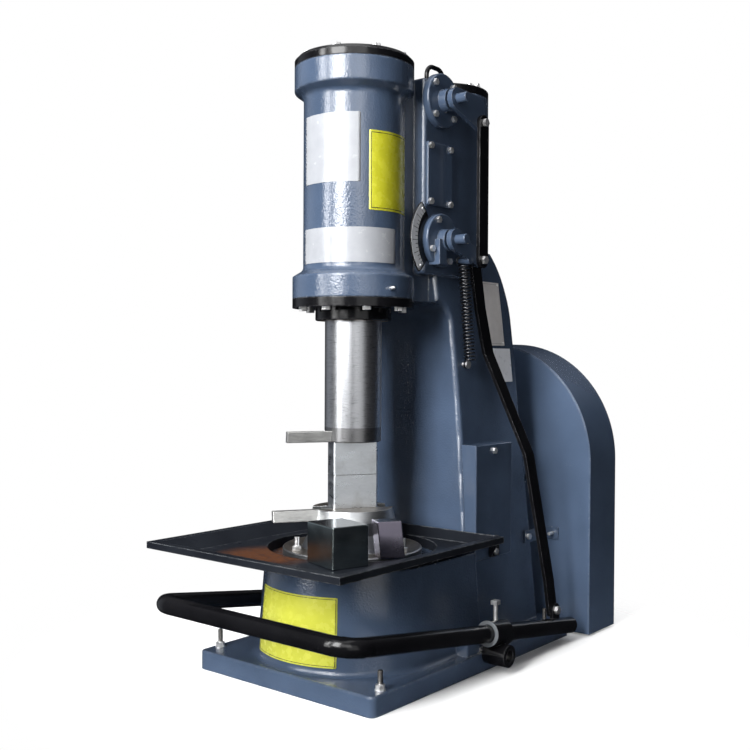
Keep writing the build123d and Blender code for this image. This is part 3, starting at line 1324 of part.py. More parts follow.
upper_lever = lever_blank(UPPER_VALVE_Z, [(FLAG_REACH, FLAG_RISE)])
export(upper_lever, "upper_lever")
lower_lever_blank = lever_blank(LOWER_VALVE_Z, [])
peg_plane = side_point(LEVER_INNER, SPRING_TOP_Y, SPRING_TOP_Z)
with BuildPart() as lower_lever:
    add(lower_lever_blank.part)
    with BuildSketch(peg_plane):
        Circle(SPRING_HOOK_RADIUS)
    extrude(amount=LEVER_THICKNESS)
    with BuildSketch(peg_plane):
        Circle(SPRING_PIN_RADIUS)
    extrude(amount=peg_end - LEVER_INNER)
    with BuildSketch(side_point(peg_end, SPRING_TOP_Y, SPRING_TOP_Z)):
        Circle(SPRING_HOOK_RADIUS)
    extrude(amount=-3)
export(lower_lever, "lower_lever")

# Pins of the levers, with a hexagon head outside and a collar inside
link_inner = LEVER_INNER - LINK_SIDE_GAP - LINK_THICKNESS
valve_link_inner = lever_outer + LINK_SIDE_GAP
valve_link_outer = valve_link_inner + LINK_THICKNESS
pin_y = VALVE_Y + LEVER_REACH
lower_pin_z = LOWER_VALVE_Z - LEVER_DROP
upper_pin_z = UPPER_VALVE_Z - LEVER_DROP


def lever_pin(z, inner):
    with BuildPart() as pin:
        with BuildSketch(side_point(inner, pin_y, z)):
            Circle(LEVER_PIN_RADIUS)
        extrude(amount=valve_link_outer + LINK_SIDE_GAP - inner)
        with BuildSketch(side_point(valve_link_outer + LINK_SIDE_GAP, pin_y, z)):
            RegularPolygon(radius=M10_FLATS / 2, side_count=6, major_radius=False)
        extrude(amount=M10_HEAD)
        with BuildSketch(side_point(inner, pin_y, z)):
            Circle(LEVER_PIN_RADIUS + 4)
        extrude(amount=-4)
    return pin


lower_lever_pin = lever_pin(lower_pin_z, link_inner - LINK_SIDE_GAP)
export(lower_lever_pin, "lower_lever_pin")
upper_lever_pin = lever_pin(upper_pin_z, LEVER_INNER)
export(upper_lever_pin, "upper_lever_pin")

# Flat bar between the two levers
with BuildPart() as valve_link:
    with BuildSketch(side_point(valve_link_inner, pin_y, (lower_pin_z + upper_pin_z) / 2)):
        SlotCenterToCenter(upper_pin_z - lower_pin_z, LINK_WIDTH, rotation=90)
        with Locations((0, (upper_pin_z - lower_pin_z) / 2), (0, (lower_pin_z - upper_pin_z) / 2)):
            Circle(LEVER_PIN_RADIUS + RUNNING_FIT, mode=Mode.SUBTRACT)
    extrude(amount=LINK_THICKNESS)
export(valve_link, "valve_link")

# Treadle link: a flat bar that leans back and is joggled outward, round the cover, to the treadle
link_low_x = TREADLE_ARM_X - TREADLE_LUG_THICKNESS / 2 - LINK_SIDE_GAP - LINK_THICKNESS / 2
link_top_x = link_inner + LINK_THICKNESS / 2
with BuildPart() as treadle_link:
    with BuildSketch(Plane.YZ):
        with Locations((TREADLE_LINK_Y, TREADLE_LINK_Z), (pin_y, lower_pin_z)):
            Circle(LINK_WIDTH / 2)
        make_hull()
        with Locations((TREADLE_LINK_Y, TREADLE_LINK_Z)):
            Circle(TREADLE_PIN_RADIUS + RUNNING_FIT, mode=Mode.SUBTRACT)
        with Locations((pin_y, lower_pin_z)):
            Circle(LEVER_PIN_RADIUS + OPEN_PIVOT_GAP, mode=Mode.SUBTRACT)
    extrude(amount=TREADLE_ARM_X + LINK_WIDTH)
    with BuildSketch(cross_plane(0)):
        with BuildLine():
            FilletPolyline(
                (link_low_x, TREADLE_LINK_Z - LINK_WIDTH),
                (link_low_x, TREADLE_LINK_Z + 2 * LINK_WIDTH),
                (JOGGLE_LOW_X, JOGGLE_LOW_Z),
                (JOGGLE_HIGH_X, JOGGLE_HIGH_Z),
                (link_top_x, lower_pin_z - 3 * LINK_WIDTH),
                (link_top_x, lower_pin_z + LINK_WIDTH),
                radius=JOGGLE_BEND,
            )
        trace(line_width=LINK_THICKNESS)
    extrude(amount=-BASE_BACK, mode=Mode.INTERSECT)
export(treadle_link, "treadle_link")

lug_inner = TREADLE_ARM_X - TREADLE_LUG_THICKNESS / 2
link_pin_inner = lug_inner - 2 * LINK_SIDE_GAP - LINK_THICKNESS
with BuildPart() as treadle_link_pin:
    with BuildSketch(side_point(link_pin_inner, TREADLE_LINK_Y, TREADLE_LINK_Z)):
        Circle(TREADLE_PIN_RADIUS)
    extrude(amount=lug_inner + TREADLE_LUG_THICKNESS - link_pin_inner)
    with BuildSketch(side_point(link_pin_inner, TREADLE_LINK_Y, TREADLE_LINK_Z)):
        Circle(TREADLE_PIN_RADIUS + 4)
    extrude(amount=-4)
    with BuildSketch(side_point(lug_inner + TREADLE_LUG_THICKNESS, TREADLE_LINK_Y, TREADLE_LINK_Z)):
        RegularPolygon(radius=M10_FLATS / 2, side_count=6, major_radius=False)
    extrude(amount=M10_HEAD)
export(treadle_link_pin, "treadle_link_pin")

# Anchor pin of the spring on the side of the column
with BuildPart() as spring_anchor:
    with BuildSketch(side_point(SPRING_PIN_INNER - CAP_BOLT_GRIP / 2, spring_anchor_y, spring_anchor_z)):
        Circle(SPRING_PIN_RADIUS)
    extrude(amount=hook_x + 2 * SPRING_WIRE_RADIUS - SPRING_PIN_INNER + CAP_BOLT_GRIP / 2)
    with BuildSketch(side_point(hook_x + 2 * SPRING_WIRE_RADIUS, spring_anchor_y, spring_anchor_z)):
        Circle(SPRING_HOOK_RADIUS + 1)
    extrude(amount=4)
export(spring_anchor, "spring_anchor")

# Return spring: one wire from hook to hook, its turns laid out as half-turn biarcs
spring_turn_points = 2 * SPRING_TURNS
wire_end = 2 * SPRING_WIRE_RADIUS


def hook_point(centre_side, centre_up, turn):
    side = centre_side + SPRING_HOOK_RADIUS * math.cos(turn)
    up = centre_up + SPRING_HOOK_RADIUS * math.sin(turn)
    at_hook = Vector(hook_x, SPRING_TOP_Y, SPRING_TOP_Z)
    return at_hook + spring_side * side + spring_up * up


def coil_point(turn):
    across = -SPRING_COIL_RADIUS * math.cos(turn)
    side = hook_side - SPRING_COIL_RADIUS * math.sin(turn)
    up = -hook_drop - SPRING_PITCH * turn / (2 * math.pi)
    return spring_top_pin + Vector(across, 0, 0) + spring_side * side + spring_up * up


def coil_heading(turn):
    across = SPRING_COIL_RADIUS * math.sin(turn)
    side = -SPRING_COIL_RADIUS * math.cos(turn)
    up = -SPRING_PITCH / (2 * math.pi)
    return (Vector(across, 0, 0) + spring_side * side + spring_up * up).normalized()


def biarc_joint(start, start_heading, end, end_heading):
    reach = end - start
    both = start_heading + end_heading
    spread = 2 * (1 - start_heading.dot(end_heading))
    along = reach.dot(both)
    length = (math.sqrt(along * along + spread * reach.dot(reach)) - along) / spread
    before = start + start_heading * length
    after = end - end_heading * length
    return (before + after) * 0.5, (after - before).normalized()


low_hook_side = 2 * hook_side
low_hook_up = -2 * hook_drop - spring_body
quarter = math.pi / 2
top_hook_turns = [spring_rise - quarter + quarter * step / 2 for step in range(6, -1, -1)]
low_hook_turns = [spring_rise + quarter + quarter * step / 2 for step in range(7)]
top_hook = [hook_point(0, 0, turn) for turn in top_hook_turns]
low_hook = [hook_point(low_hook_side, low_hook_up, turn) for turn in low_hook_turns]
top_way = spring_side * -math.sin(top_hook_turns[0]) + spring_up * math.cos(top_hook_turns[0])
low_way = spring_side * -math.sin(low_hook_turns[-1]) + spring_up * math.cos(low_hook_turns[-1])
with BuildPart() as return_spring:
    with BuildLine() as spring_path:
        Line(top_hook[0] + top_way * wire_end, top_hook[0])
        for step in range(0, 6, 2):
            ThreePointArc(top_hook[step], top_hook[step + 1], top_hook[step + 2])
        for step in range(spring_turn_points):
            start = coil_point(math.pi * step)
            end = coil_point(math.pi * (step + 1))
            start_heading = coil_heading(math.pi * step)
            end_heading = coil_heading(math.pi * (step + 1))
            joint, joint_heading = biarc_joint(start, start_heading, end, end_heading)
            TangentArc(start, joint, tangent=start_heading)
            TangentArc(joint, end, tangent=joint_heading)
        for step in range(0, 6, 2):
            ThreePointArc(low_hook[step], low_hook[step + 1], low_hook[step + 2])
        Line(low_hook[-1], low_hook[-1] + low_way * wire_end)
    with BuildSketch(Plane(origin=top_hook[0] + top_way * wire_end, z_dir=top_way)):
        Circle(SPRING_WIRE_RADIUS)
    sweep(path=spring_path.line)
export(return_spring, "return_spring")

# Least gap of the spring wire to itself, over points further apart along it than a half turn
wire_points = [hook_point(0, 0, spring_rise - quarter + quarter * step / 6) for step in range(18, 0, -1)]
wire_points += [coil_point(2 * math.pi * step / 18) for step in range(18 * SPRING_TURNS + 1)]
wire_points += [
    hook_point(low_hook_side, low_hook_up, spring_rise + quarter + quarter * step / 6)
    for step in range(1, 19)
]
least_gap = min(
    (wire_points[first] - wire_points[second]).length
    for first in range(len(wire_points))
    for second in range(first + 9, min(first + 60, len(wire_points)))
) - 2 * SPRING_WIRE_RADIUS
print("spring least gap to itself, mm:", round(least_gap, 2))

# Compressor piston with its bosses, rings and wrist pin
wrist_z = CRANK_Z + CRANK_THROW + ROD_LENGTH
crown_top = wrist_z + PISTON_PIN_TO_CROWN
skirt_bottom = wrist_z - PISTON_SKIRT
rod_front = COMPRESSOR_Y - ROD_THICKNESS / 2
pin_half = piston_radius - PISTON_WALL / 2
compressor_ring_middles = [crown_top - RING_SPACING * (index + 1) for index in range(RING_COUNT)]
with BuildPart() as piston_bosses:
    with BuildSketch(cross_plane(COMPRESSOR_Y)):
        with Locations((0, wrist_z)):
            Circle(WRIST_PIN_RADIUS + RING_DEPTH * 2)
    extrude(amount=piston_radius, both=True)
    with BuildSketch(cross_plane(COMPRESSOR_Y)):
        with Locations((0, wrist_z)):
            Circle(piston_radius)
    extrude(amount=ROD_THICKNESS / 2 + 2, both=True, mode=Mode.SUBTRACT)
    with BuildSketch(level_plane(skirt_bottom)):
        with Locations((0, COMPRESSOR_Y)):
            Circle(piston_radius - PISTON_WALL / 2)
    extrude(amount=crown_top - skirt_bottom, mode=Mode.INTERSECT)
with BuildPart() as compressor_piston:
    with BuildSketch(level_plane(skirt_bottom)):
        with Locations((0, COMPRESSOR_Y)):
            Circle(piston_radius)
    extrude(amount=crown_top - skirt_bottom)
    with BuildSketch(level_plane(skirt_bottom)):
        with Locations((0, COMPRESSOR_Y)):
            Circle(piston_radius - PISTON_WALL)
    extrude(amount=crown_top - PISTON_CROWN - skirt_bottom, mode=Mode.SUBTRACT)
    add(piston_bosses.part)
    for z in compressor_ring_middles:
        with BuildSketch(level_plane(z - RING_HEIGHT / 2)):
            with Locations((0, COMPRESSOR_Y)):
                Circle(piston_radius)
                Circle(piston_radius - RING_DEPTH, mode=Mode.SUBTRACT)
        extrude(amount=RING_HEIGHT, mode=Mode.SUBTRACT)
    with BuildSketch(cross_plane(COMPRESSOR_Y)):
        with Locations((0, wrist_z)):
            Circle(WRIST_PIN_RADIUS + SEAT_GAP)
    extrude(amount=piston_radius, both=True, mode=Mode.SUBTRACT)
export(compressor_piston, "compressor_piston")

with BuildPart() as compressor_rings:
    for z in compressor_ring_middles:
        with BuildSketch(level_plane(z - RING_HEIGHT / 2)):
            with Locations((0, COMPRESSOR_Y)):
                Circle(BORE_RADIUS - RUNNING_FIT / 2)
                Circle(piston_radius - RING_DEPTH, mode=Mode.SUBTRACT)
        extrude(amount=RING_HEIGHT)
export(compressor_rings, "compressor_rings")

with BuildPart() as wrist_pin:
    with BuildSketch(cross_plane(COMPRESSOR_Y)):
        with Locations((0, wrist_z)):
            Circle(WRIST_PIN_RADIUS)
    extrude(amount=pin_half, both=True)
export(wrist_pin, "wrist_pin")

# Connecting rod and the crank pin in its big end
crank_pin_z = CRANK_Z + CRANK_THROW
with BuildPart() as connecting_rod:
    with BuildSketch(cross_plane(COMPRESSOR_Y)):
        with Locations((0, crank_pin_z)):
            Circle(ROD_BIG_END_RADIUS)
        with Locations((0, wrist_z)):
            Circle(ROD_SMALL_END_RADIUS)
        with Locations((0, (crank_pin_z + wrist_z) / 2)):
            Rectangle(2 * ROD_SHANK_HALF, ROD_LENGTH)
        with Locations((0, crank_pin_z)):
            Circle(CRANK_PIN_RADIUS, mode=Mode.SUBTRACT)
        with Locations((0, wrist_z)):
            Circle(WRIST_PIN_RADIUS + RUNNING_FIT, mode=Mode.SUBTRACT)
    extrude(amount=ROD_THICKNESS / 2, both=True)
export(connecting_rod, "connecting_rod")

with BuildPart() as crank_pin:
    with BuildSketch(cross_plane(rod_front)):
        with Locations((0, crank_pin_z)):
            Circle(CRANK_PIN_RADIUS - SEAT_GAP)
    extrude(amount=-(CRANK_DISC_FRONT - CRANK_PIN_GAP - rod_front))
export(crank_pin, "crank_pin")

# Crankshaft: disc, journal and threaded end
with BuildPart() as crankshaft:
    with BuildSketch(cross_plane(CRANK_DISC_FRONT)):
        with Locations((0, CRANK_Z)):
            Circle(CRANK_DISC_RADIUS)
    extrude(amount=-CRANK_DISC_THICKNESS)
    chamfer(crankshaft.edges(), length=2)
    with BuildSketch(cross_plane(CRANK_DISC_FRONT + CRANK_DISC_THICKNESS)):
        with Locations((0, CRANK_Z)):
            Circle(JOURNAL_RADIUS)
    extrude(amount=-(FLYWHEEL_FRONT + FLYWHEEL_WIDTH - CRANK_DISC_FRONT - CRANK_DISC_THICKNESS))
    with BuildSketch(cross_plane(FLYWHEEL_FRONT + FLYWHEEL_WIDTH)):
        with Locations((0, CRANK_Z)):
            Circle(FLYWHEEL_THREAD_RADIUS)
    extrude(amount=-(CRANKSHAFT_END - FLYWHEEL_FRONT - FLYWHEEL_WIDTH))
export(crankshaft, "crankshaft")

# Bearing housing on the rear of the column, with two bearings
flange_back = HOUSING_SEAT + HOUSING_FLANGE_THICKNESS
bearing_seat = BEARING_WIDTH + BEARING_INSET
bearing_starts = [HOUSING_SPIGOT_FRONT + BEARING_INSET, HOUSING_END - bearing_seat]
guard_bolt_planes = [
    Plane(origin=(x, HOUSING_END + GUARD_SHEET, CRANK_Z + z), z_dir=(0, 1, 0))
    for x, z in ring_points(4, GUARD_BOLT_CIRCLE, 45)
]
with BuildPart() as bearing_housing:
    for radius, start, end in (
        (HOUSING_SPIGOT_RADIUS, HOUSING_SPIGOT_FRONT, HOUSING_SEAT),
        (HOUSING_FLANGE_RADIUS, HOUSING_SEAT, flange_back),
        (HOUSING_TUBE_RADIUS, flange_back, HOUSING_END),
    ):
        with BuildSketch(cross_plane(start)):
            with Locations((0, CRANK_Z)):
                Circle(radius)
        extrude(amount=start - end)
    for radius, start, end in (
        (JOURNAL_RADIUS + BASE_EDGE, HOUSING_SPIGOT_FRONT, HOUSING_END),
        (BEARING_RADIUS + SEAT_GAP, HOUSING_SPIGOT_FRONT, HOUSING_SPIGOT_FRONT + bearing_seat),
        (BEARING_RADIUS + SEAT_GAP, HOUSING_END - bearing_seat, HOUSING_END),
    ):
        with BuildSketch(cross_plane(start)):
            with Locations((0, CRANK_Z)):
                Circle(radius)
        extrude(amount=start - end, mode=Mode.SUBTRACT)
    with BuildSketch(*housing_bolt_planes):
        Circle(M10_RADIUS + BOLT_HOLE_GAP)
    extrude(amount=-HOUSING_FLANGE_THICKNESS, mode=Mode.SUBTRACT)
    with BuildSketch(*guard_bolt_planes):
        Circle(M8_RADIUS + BOLT_HOLE_GAP)
    extrude(amount=-CAP_BOLT_GRIP, mode=Mode.SUBTRACT)
export(bearing_housing, "bearing_housing")
with BuildPart() as main_bearings:
    for start in bearing_starts:
        with BuildSketch(cross_plane(start)):
            with Locations((0, CRANK_Z)):
                Circle(BEARING_RADIUS)
                Circle(JOURNAL_RADIUS + RUNNING_FIT, mode=Mode.SUBTRACT)
        extrude(amount=-BEARING_WIDTH)
export(main_bearings, "main_bearings")

# Flywheel with two belt grooves, and the nut that holds it
belt_middles = [
    FLYWHEEL_FRONT + FLYWHEEL_WIDTH / 2 + BELT_PITCH * (index - (BELT_COUNT - 1) / 2)
    for index in range(BELT_COUNT)
]
groove_depth = BELT_HEIGHT + BELT_GAP
groove_width = BELT_WIDTH + 2 * BELT_GAP
flywheel_middle = FLYWHEEL_FRONT + FLYWHEEL_WIDTH / 2
with BuildPart() as flywheel:
    with BuildSketch(cross_plane(FLYWHEEL_FRONT)):
        with Locations((0, CRANK_Z)):
            Circle(FLYWHEEL_RADIUS)
            Circle(FLYWHEEL_RADIUS - FLYWHEEL_RIM, mode=Mode.SUBTRACT)
            Circle(FLYWHEEL_HUB_RADIUS)
    extrude(amount=-FLYWHEEL_WIDTH)
    with BuildSketch(cross_plane(flywheel_middle)):
        with Locations((0, CRANK_Z)):
            Circle(FLYWHEEL_RADIUS - FLYWHEEL_RIM / 2)
    extrude(amount=FLYWHEEL_WEB / 2, both=True)
    for y in belt_middles:
        with BuildSketch(cross_plane(y)):
            with Locations((0, CRANK_Z)):
                Circle(FLYWHEEL_RADIUS)
                Circle(FLYWHEEL_RADIUS - groove_depth, mode=Mode.SUBTRACT)
        extrude(amount=groove_width / 2, both=True, mode=Mode.SUBTRACT)
    with BuildSketch(cross_plane(FLYWHEEL_FRONT)):
        with Locations((0, CRANK_Z)):
            Circle(JOURNAL_RADIUS + SEAT_GAP)
    extrude(amount=-FLYWHEEL_WIDTH, mode=Mode.SUBTRACT)
export(flywheel, "flywheel")

with BuildPart() as flywheel_nut:
    with BuildSketch(cross_plane(FLYWHEEL_FRONT + FLYWHEEL_WIDTH)):
        with Locations((0, CRANK_Z)):
            RegularPolygon(radius=FLYWHEEL_NUT_FLATS / 2, side_count=6, major_radius=False)
            Circle(FLYWHEEL_THREAD_RADIUS + SEAT_GAP, mode=Mode.SUBTRACT)
    extrude(amount=-FLYWHEEL_NUT)
export(flywheel_nut, "flywheel_nut")

# Drive belts round the flywheel and the motor pulley
with BuildPart() as drive_belts:
    for y in belt_middles:
        with BuildSketch(cross_plane(y)):
            with Locations((0, CRANK_Z)):
                Circle(FLYWHEEL_RADIUS)
            with Locations((0, MOTOR_Z)):
                Circle(MOTOR_PULLEY_RADIUS)
            make_hull()
        extrude(amount=BELT_WIDTH / 2, both=True)
        with BuildSketch(cross_plane(y)):
            with Locations((0, CRANK_Z)):
                Circle(FLYWHEEL_RADIUS - BELT_HEIGHT)
            with Locations((0, MOTOR_Z)):
                Circle(MOTOR_PULLEY_RADIUS - BELT_HEIGHT)
            make_hull()
        extrude(amount=BELT_WIDTH / 2, both=True, mode=Mode.SUBTRACT)
export(drive_belts, "drive_belts")

# Motor with feet, fins and a terminal box, standing in the bay
motor_end = MOTOR_FRONT + MOTOR_LENGTH
fin_step = MOTOR_LENGTH / (MOTOR_FIN_COUNT + 1)
with BuildPart() as motor:
    with BuildSketch(cross_plane(MOTOR_FRONT)):
        with Locations((0, MOTOR_Z)):
            Circle(MOTOR_RADIUS - BASE_EDGE)
    extrude(amount=-MOTOR_LENGTH)
    for index in range(MOTOR_FIN_COUNT):
        with BuildSketch(cross_plane(MOTOR_FRONT + fin_step * (index + 0.8))):
            with Locations((0, MOTOR_Z)):
                Circle(MOTOR_RADIUS)
        extrude(amount=-fin_step / 3)
    with BuildSketch(level_plane(BASE_THICKNESS)):
        for start in (MOTOR_FRONT + fin_step, motor_end - 3 * fin_step):
            with Locations((0, start + fin_step)):
                Rectangle(2 * MOTOR_FOOT_HALF, 2 * fin_step)
    extrude(amount=MOTOR_FOOT_HEIGHT)
    with BuildSketch(level_plane(BASE_THICKNESS)):
        with Locations((0, MOTOR_FRONT + MOTOR_LENGTH / 2)):
            Rectangle(MOTOR_RADIUS, MOTOR_LENGTH - 2 * fin_step)
    extrude(amount=MOTOR_Z - MOTOR_RADIUS / 2 - BASE_THICKNESS)
    with BuildSketch(level_plane(MOTOR_Z)):
        with Locations((0, MOTOR_FRONT + MOTOR_LENGTH / 2)):
            Rectangle(MOTOR_BOX_WIDTH, MOTOR_BOX_WIDTH)
    extrude(amount=MOTOR_RADIUS + MOTOR_BOX_HEIGHT)
    with BuildSketch(cross_plane(motor_end)):
        with Locations((0, MOTOR_Z)):
            Circle(MOTOR_SHAFT_RADIUS + RUNNING_FIT)
    extrude(amount=MOTOR_LENGTH / 2, mode=Mode.SUBTRACT)
export(motor, "motor")

pulley_front = belt_middles[0] - BELT_WIDTH
pulley_end = belt_middles[-1] + BELT_WIDTH
with BuildPart() as motor_shaft:
    with BuildSketch(cross_plane(motor_end - MOTOR_LENGTH / 2 + 1)):
        with Locations((0, MOTOR_Z)):
            Circle(MOTOR_SHAFT_RADIUS)
    extrude(amount=-(pulley_end - motor_end + MOTOR_LENGTH / 2))
export(motor_shaft, "motor_shaft")

with BuildPart() as motor_pulley:
    with BuildSketch(cross_plane(pulley_front)):
        with Locations((0, MOTOR_Z)):
            Circle(MOTOR_PULLEY_RADIUS)
    extrude(amount=pulley_front - pulley_end)
    for y in belt_middles:
        with BuildSketch(cross_plane(y)):
            with Locations((0, MOTOR_Z)):
                Circle(MOTOR_PULLEY_RADIUS)
                Circle(MOTOR_PULLEY_RADIUS - groove_depth, mode=Mode.SUBTRACT)
        extrude(amount=groove_width / 2, both=True, mode=Mode.SUBTRACT)
    with BuildSketch(cross_plane(pulley_front)):
        with Locations((0, MOTOR_Z)):
            Circle(MOTOR_SHAFT_RADIUS + SEAT_GAP)
    extrude(amount=pulley_front - pulley_end, mode=Mode.SUBTRACT)
export(motor_pulley, "motor_pulley")

# Belt guard: an arched band closed by a rear sheet
def arched_block(inset, bottom, depth):
    with BuildPart() as block:
        with BuildSketch(cross_plane(HOUSING_END)):
            with Locations((0, CRANK_Z)):
                Circle(GUARD_HALF_WIDTH - inset)
            with Locations((0, (bottom + CRANK_Z) / 2)):
                Rectangle(2 * (GUARD_HALF_WIDTH - inset), CRANK_Z - bottom)
        extrude(amount=-depth)
    return block


guard_outside = arched_block(0, GUARD_BOTTOM, GUARD_DEPTH)
guard_inside = arched_block(GUARD_SHEET, 0, GUARD_DEPTH - GUARD_SHEET)
with BuildPart() as belt_guard:
    add(guard_outside.part)
    add(guard_inside.part, mode=Mode.SUBTRACT)
export(belt_guard, "belt_guard")

# Front plate of the guard, on the end of the bearing housing
bracket_x = COLUMN_LOW_HALF + 1
tab_x = bracket_x + BRACKET_TAB / 2 + BRACKET_THICKNESS
tab_bolt_planes = [
    Plane(origin=(side * tab_x, HOUSING_END + GUARD_SHEET, GUARD_BRACKET_Z), z_dir=(0, 1, 0))
    for side in (-1, 1)
]
plate_blank = arched_block(GUARD_SHEET + GUARD_FIT, GUARD_BOTTOM, GUARD_SHEET)
with BuildPart() as guard_front_plate:
    add(plate_blank.part)
    with BuildSketch(cross_plane(HOUSING_END)):
        with Locations((0, CRANK_Z)):
            Circle(JOURNAL_RADIUS + COLUMN_EDGE)
        with Locations((0, MOTOR_Z)):
            Circle(GUARD_MOTOR_HOLE)
    extrude(amount=-GUARD_SHEET, mode=Mode.SUBTRACT)
    with BuildSketch(*guard_bolt_planes, *tab_bolt_planes):
        Circle(M8_RADIUS + BOLT_HOLE_GAP)
    extrude(amount=-GUARD_SHEET, mode=Mode.SUBTRACT)
export(guard_front_plate, "guard_front_plate")

# Brackets from the sides of the column to the front plate
side_bolt_planes = [
    Plane(
        origin=(side * (bracket_x + BRACKET_THICKNESS), BRACKET_BOLT_Y, GUARD_BRACKET_Z),
        x_dir=(0, 1, 0),
        z_dir=(side, 0, 0),
    )
    for side in (-1, 1)
]
with BuildPart() as guard_brackets:
    for side in (-1, 1):
        with BuildSketch(level_plane(GUARD_BRACKET_Z - BRACKET_WIDTH / 2)):
            with BuildLine():
                Polyline(
                    (side * (bracket_x + BRACKET_THICKNESS / 2), BRACKET_BOLT_Y - BRACKET_WIDTH / 2),
                    (side * (bracket_x + BRACKET_THICKNESS / 2), HOUSING_END - BRACKET_THICKNESS / 2),
                    (side * (bracket_x + BRACKET_TAB), HOUSING_END - BRACKET_THICKNESS / 2),
                )
            trace(line_width=BRACKET_THICKNESS)
        extrude(amount=BRACKET_WIDTH)
    with BuildSketch(*tab_bolt_planes, *side_bolt_planes):
        Circle(M8_RADIUS + BOLT_HOLE_GAP)
    extrude(amount=-2 * BRACKET_THICKNESS, mode=Mode.SUBTRACT)
export(guard_brackets, "guard_brackets")

housing_bolts = hex_bolts(
    housing_bolt_planes, M10_RADIUS, M10_FLATS, M10_HEAD, HOUSING_FLANGE_THICKNESS + CAP_BOLT_GRIP
)
bracket_bolts = hex_bolts(side_bolt_planes, M8_RADIUS, M8_FLATS, M8_HEAD, CAP_BOLT_GRIP)
plate_bolts = hex_bolts(guard_bolt_planes, M8_RADIUS, M8_FLATS, M8_HEAD, CAP_BOLT_GRIP)
tab_bolts = hex_bolts(tab_bolt_planes, M8_RADIUS, M8_FLATS, M8_HEAD, 2 * M8_FLATS)
with BuildPart() as rear_bolts:
    add(housing_bolts.part)
    add(bracket_bolts.part)
    add(plate_bolts.part)
    add(tab_bolts.part)
export(rear_bolts, "rear_bolts")

# Anchor studs with washers and nuts
with BuildPart() as anchor_bolts:
    with BuildSketch(level_plane(2)):
        with Locations(*stud_points):
            Circle(M10_RADIUS)
    extrude(amount=STUD_TOP - 2)
    with BuildSketch(level_plane(BASE_THICKNESS)):
        with Locations(*stud_points):
            Circle(WASHER_RADIUS)
    extrude(amount=WASHER_THICKNESS)
    with BuildSketch(level_plane(BASE_THICKNESS + WASHER_THICKNESS)):
        with Locations(*stud_points):
            RegularPolygon(radius=M10_FLATS / 2, side_count=6, major_radius=False)
    extrude(amount=ANVIL_NUT)
export(anchor_bolts, "anchor_bolts")
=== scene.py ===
"""Looks of a pneumatic forging hammer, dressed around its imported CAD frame."""

import math

import bmesh
import bpy
from mathutils import Matrix, Vector
from mathutils.bvhtree import BVHTree


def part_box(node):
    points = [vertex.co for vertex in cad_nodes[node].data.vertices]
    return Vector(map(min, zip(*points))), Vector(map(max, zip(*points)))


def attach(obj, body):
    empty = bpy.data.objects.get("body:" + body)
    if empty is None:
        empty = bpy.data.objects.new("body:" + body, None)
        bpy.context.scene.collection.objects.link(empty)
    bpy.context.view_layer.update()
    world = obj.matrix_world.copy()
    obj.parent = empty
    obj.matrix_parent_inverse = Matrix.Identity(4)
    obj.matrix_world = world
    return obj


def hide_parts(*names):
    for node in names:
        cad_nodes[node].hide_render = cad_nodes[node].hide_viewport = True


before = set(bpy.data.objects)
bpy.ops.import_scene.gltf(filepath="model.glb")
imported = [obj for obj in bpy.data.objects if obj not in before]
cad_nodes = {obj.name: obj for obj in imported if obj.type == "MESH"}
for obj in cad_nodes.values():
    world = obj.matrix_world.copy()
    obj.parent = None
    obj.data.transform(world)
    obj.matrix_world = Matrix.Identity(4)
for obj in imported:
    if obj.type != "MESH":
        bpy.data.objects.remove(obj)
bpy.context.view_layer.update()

# Sizes and places are in metres in the CAD frame, and the sensor's width is in millimetres

# Camera
IMAGE_SIZE = 750
FOCAL_PIXELS = 1006.4
SENSOR_WIDTH = 36
CAMERA_PLACE = (1.4293, -1.6742, 0.6755)
CAMERA_HEADING = (-0.63257, 0.77450)
CAMERA_PITCH = math.radians(-0.94)
CAMERA_ROLL = math.radians(0.3)

# Directions, and a distance that is clear of the object on its right
UP = Vector((0, 0, 1))
RIGHT = Vector((1, 0, 0))
CLEAR_X = 1

# Round faces of the casting that plates are wrapped on
BARREL_RADIUS = 0.110
PEDESTAL_FOOT_RADIUS = 0.207
PEDESTAL_TOP_RADIUS = 0.190
PEDESTAL_MIDDLE_RADIUS = (PEDESTAL_FOOT_RADIUS + PEDESTAL_TOP_RADIUS) / 2
PEDESTAL_FOOT_Z = 0.040
PEDESTAL_TOP_Z = 0.244
PEDESTAL_SLOPE = (PEDESTAL_TOP_RADIUS - PEDESTAL_FOOT_RADIUS) / (PEDESTAL_TOP_Z - PEDESTAL_FOOT_Z)

# Sheets: their thickness, their corners and the grid that they are made of
PLATE_LIFT = 0.0005
WIDE_CORNER = 0.003
SMALL_CORNER = 0.002
CORNER_STEPS = 6
SHEET_ROWS = 8
SHEET_COLUMNS = 24

# Bare plates on the barrel and the pedestal: the angles that they span in degrees, and their heights
WHITE_PLATE_SPAN = (-118, -42.5)
WHITE_PLATE_LOW = 1.043
WHITE_PLATE_HEIGHT = 0.144
WHITE_STRIP_SPAN = (-120, 3)
WHITE_STRIP_LOW = 0.876
WHITE_STRIP_HEIGHT = 0.073
YELLOW_PLATE_SPAN = (-33, 35)
YELLOW_PLATE_LOW = 0.985
YELLOW_PLATE_HEIGHT = 0.166
FOOT_PLATE_SPAN = (-122, -58)
FOOT_PLATE_LOW = 0.056
FOOT_PLATE_HEIGHT = 0.139

# Border lines: how far in from the edge they lie, and their width
YELLOW_PLATE_BORDER = (0.004, 0.0016)
FOOT_PLATE_BORDER = (0.003, 0.0012)
METAL_PLATE_BORDER = (0.004, 0.0010)

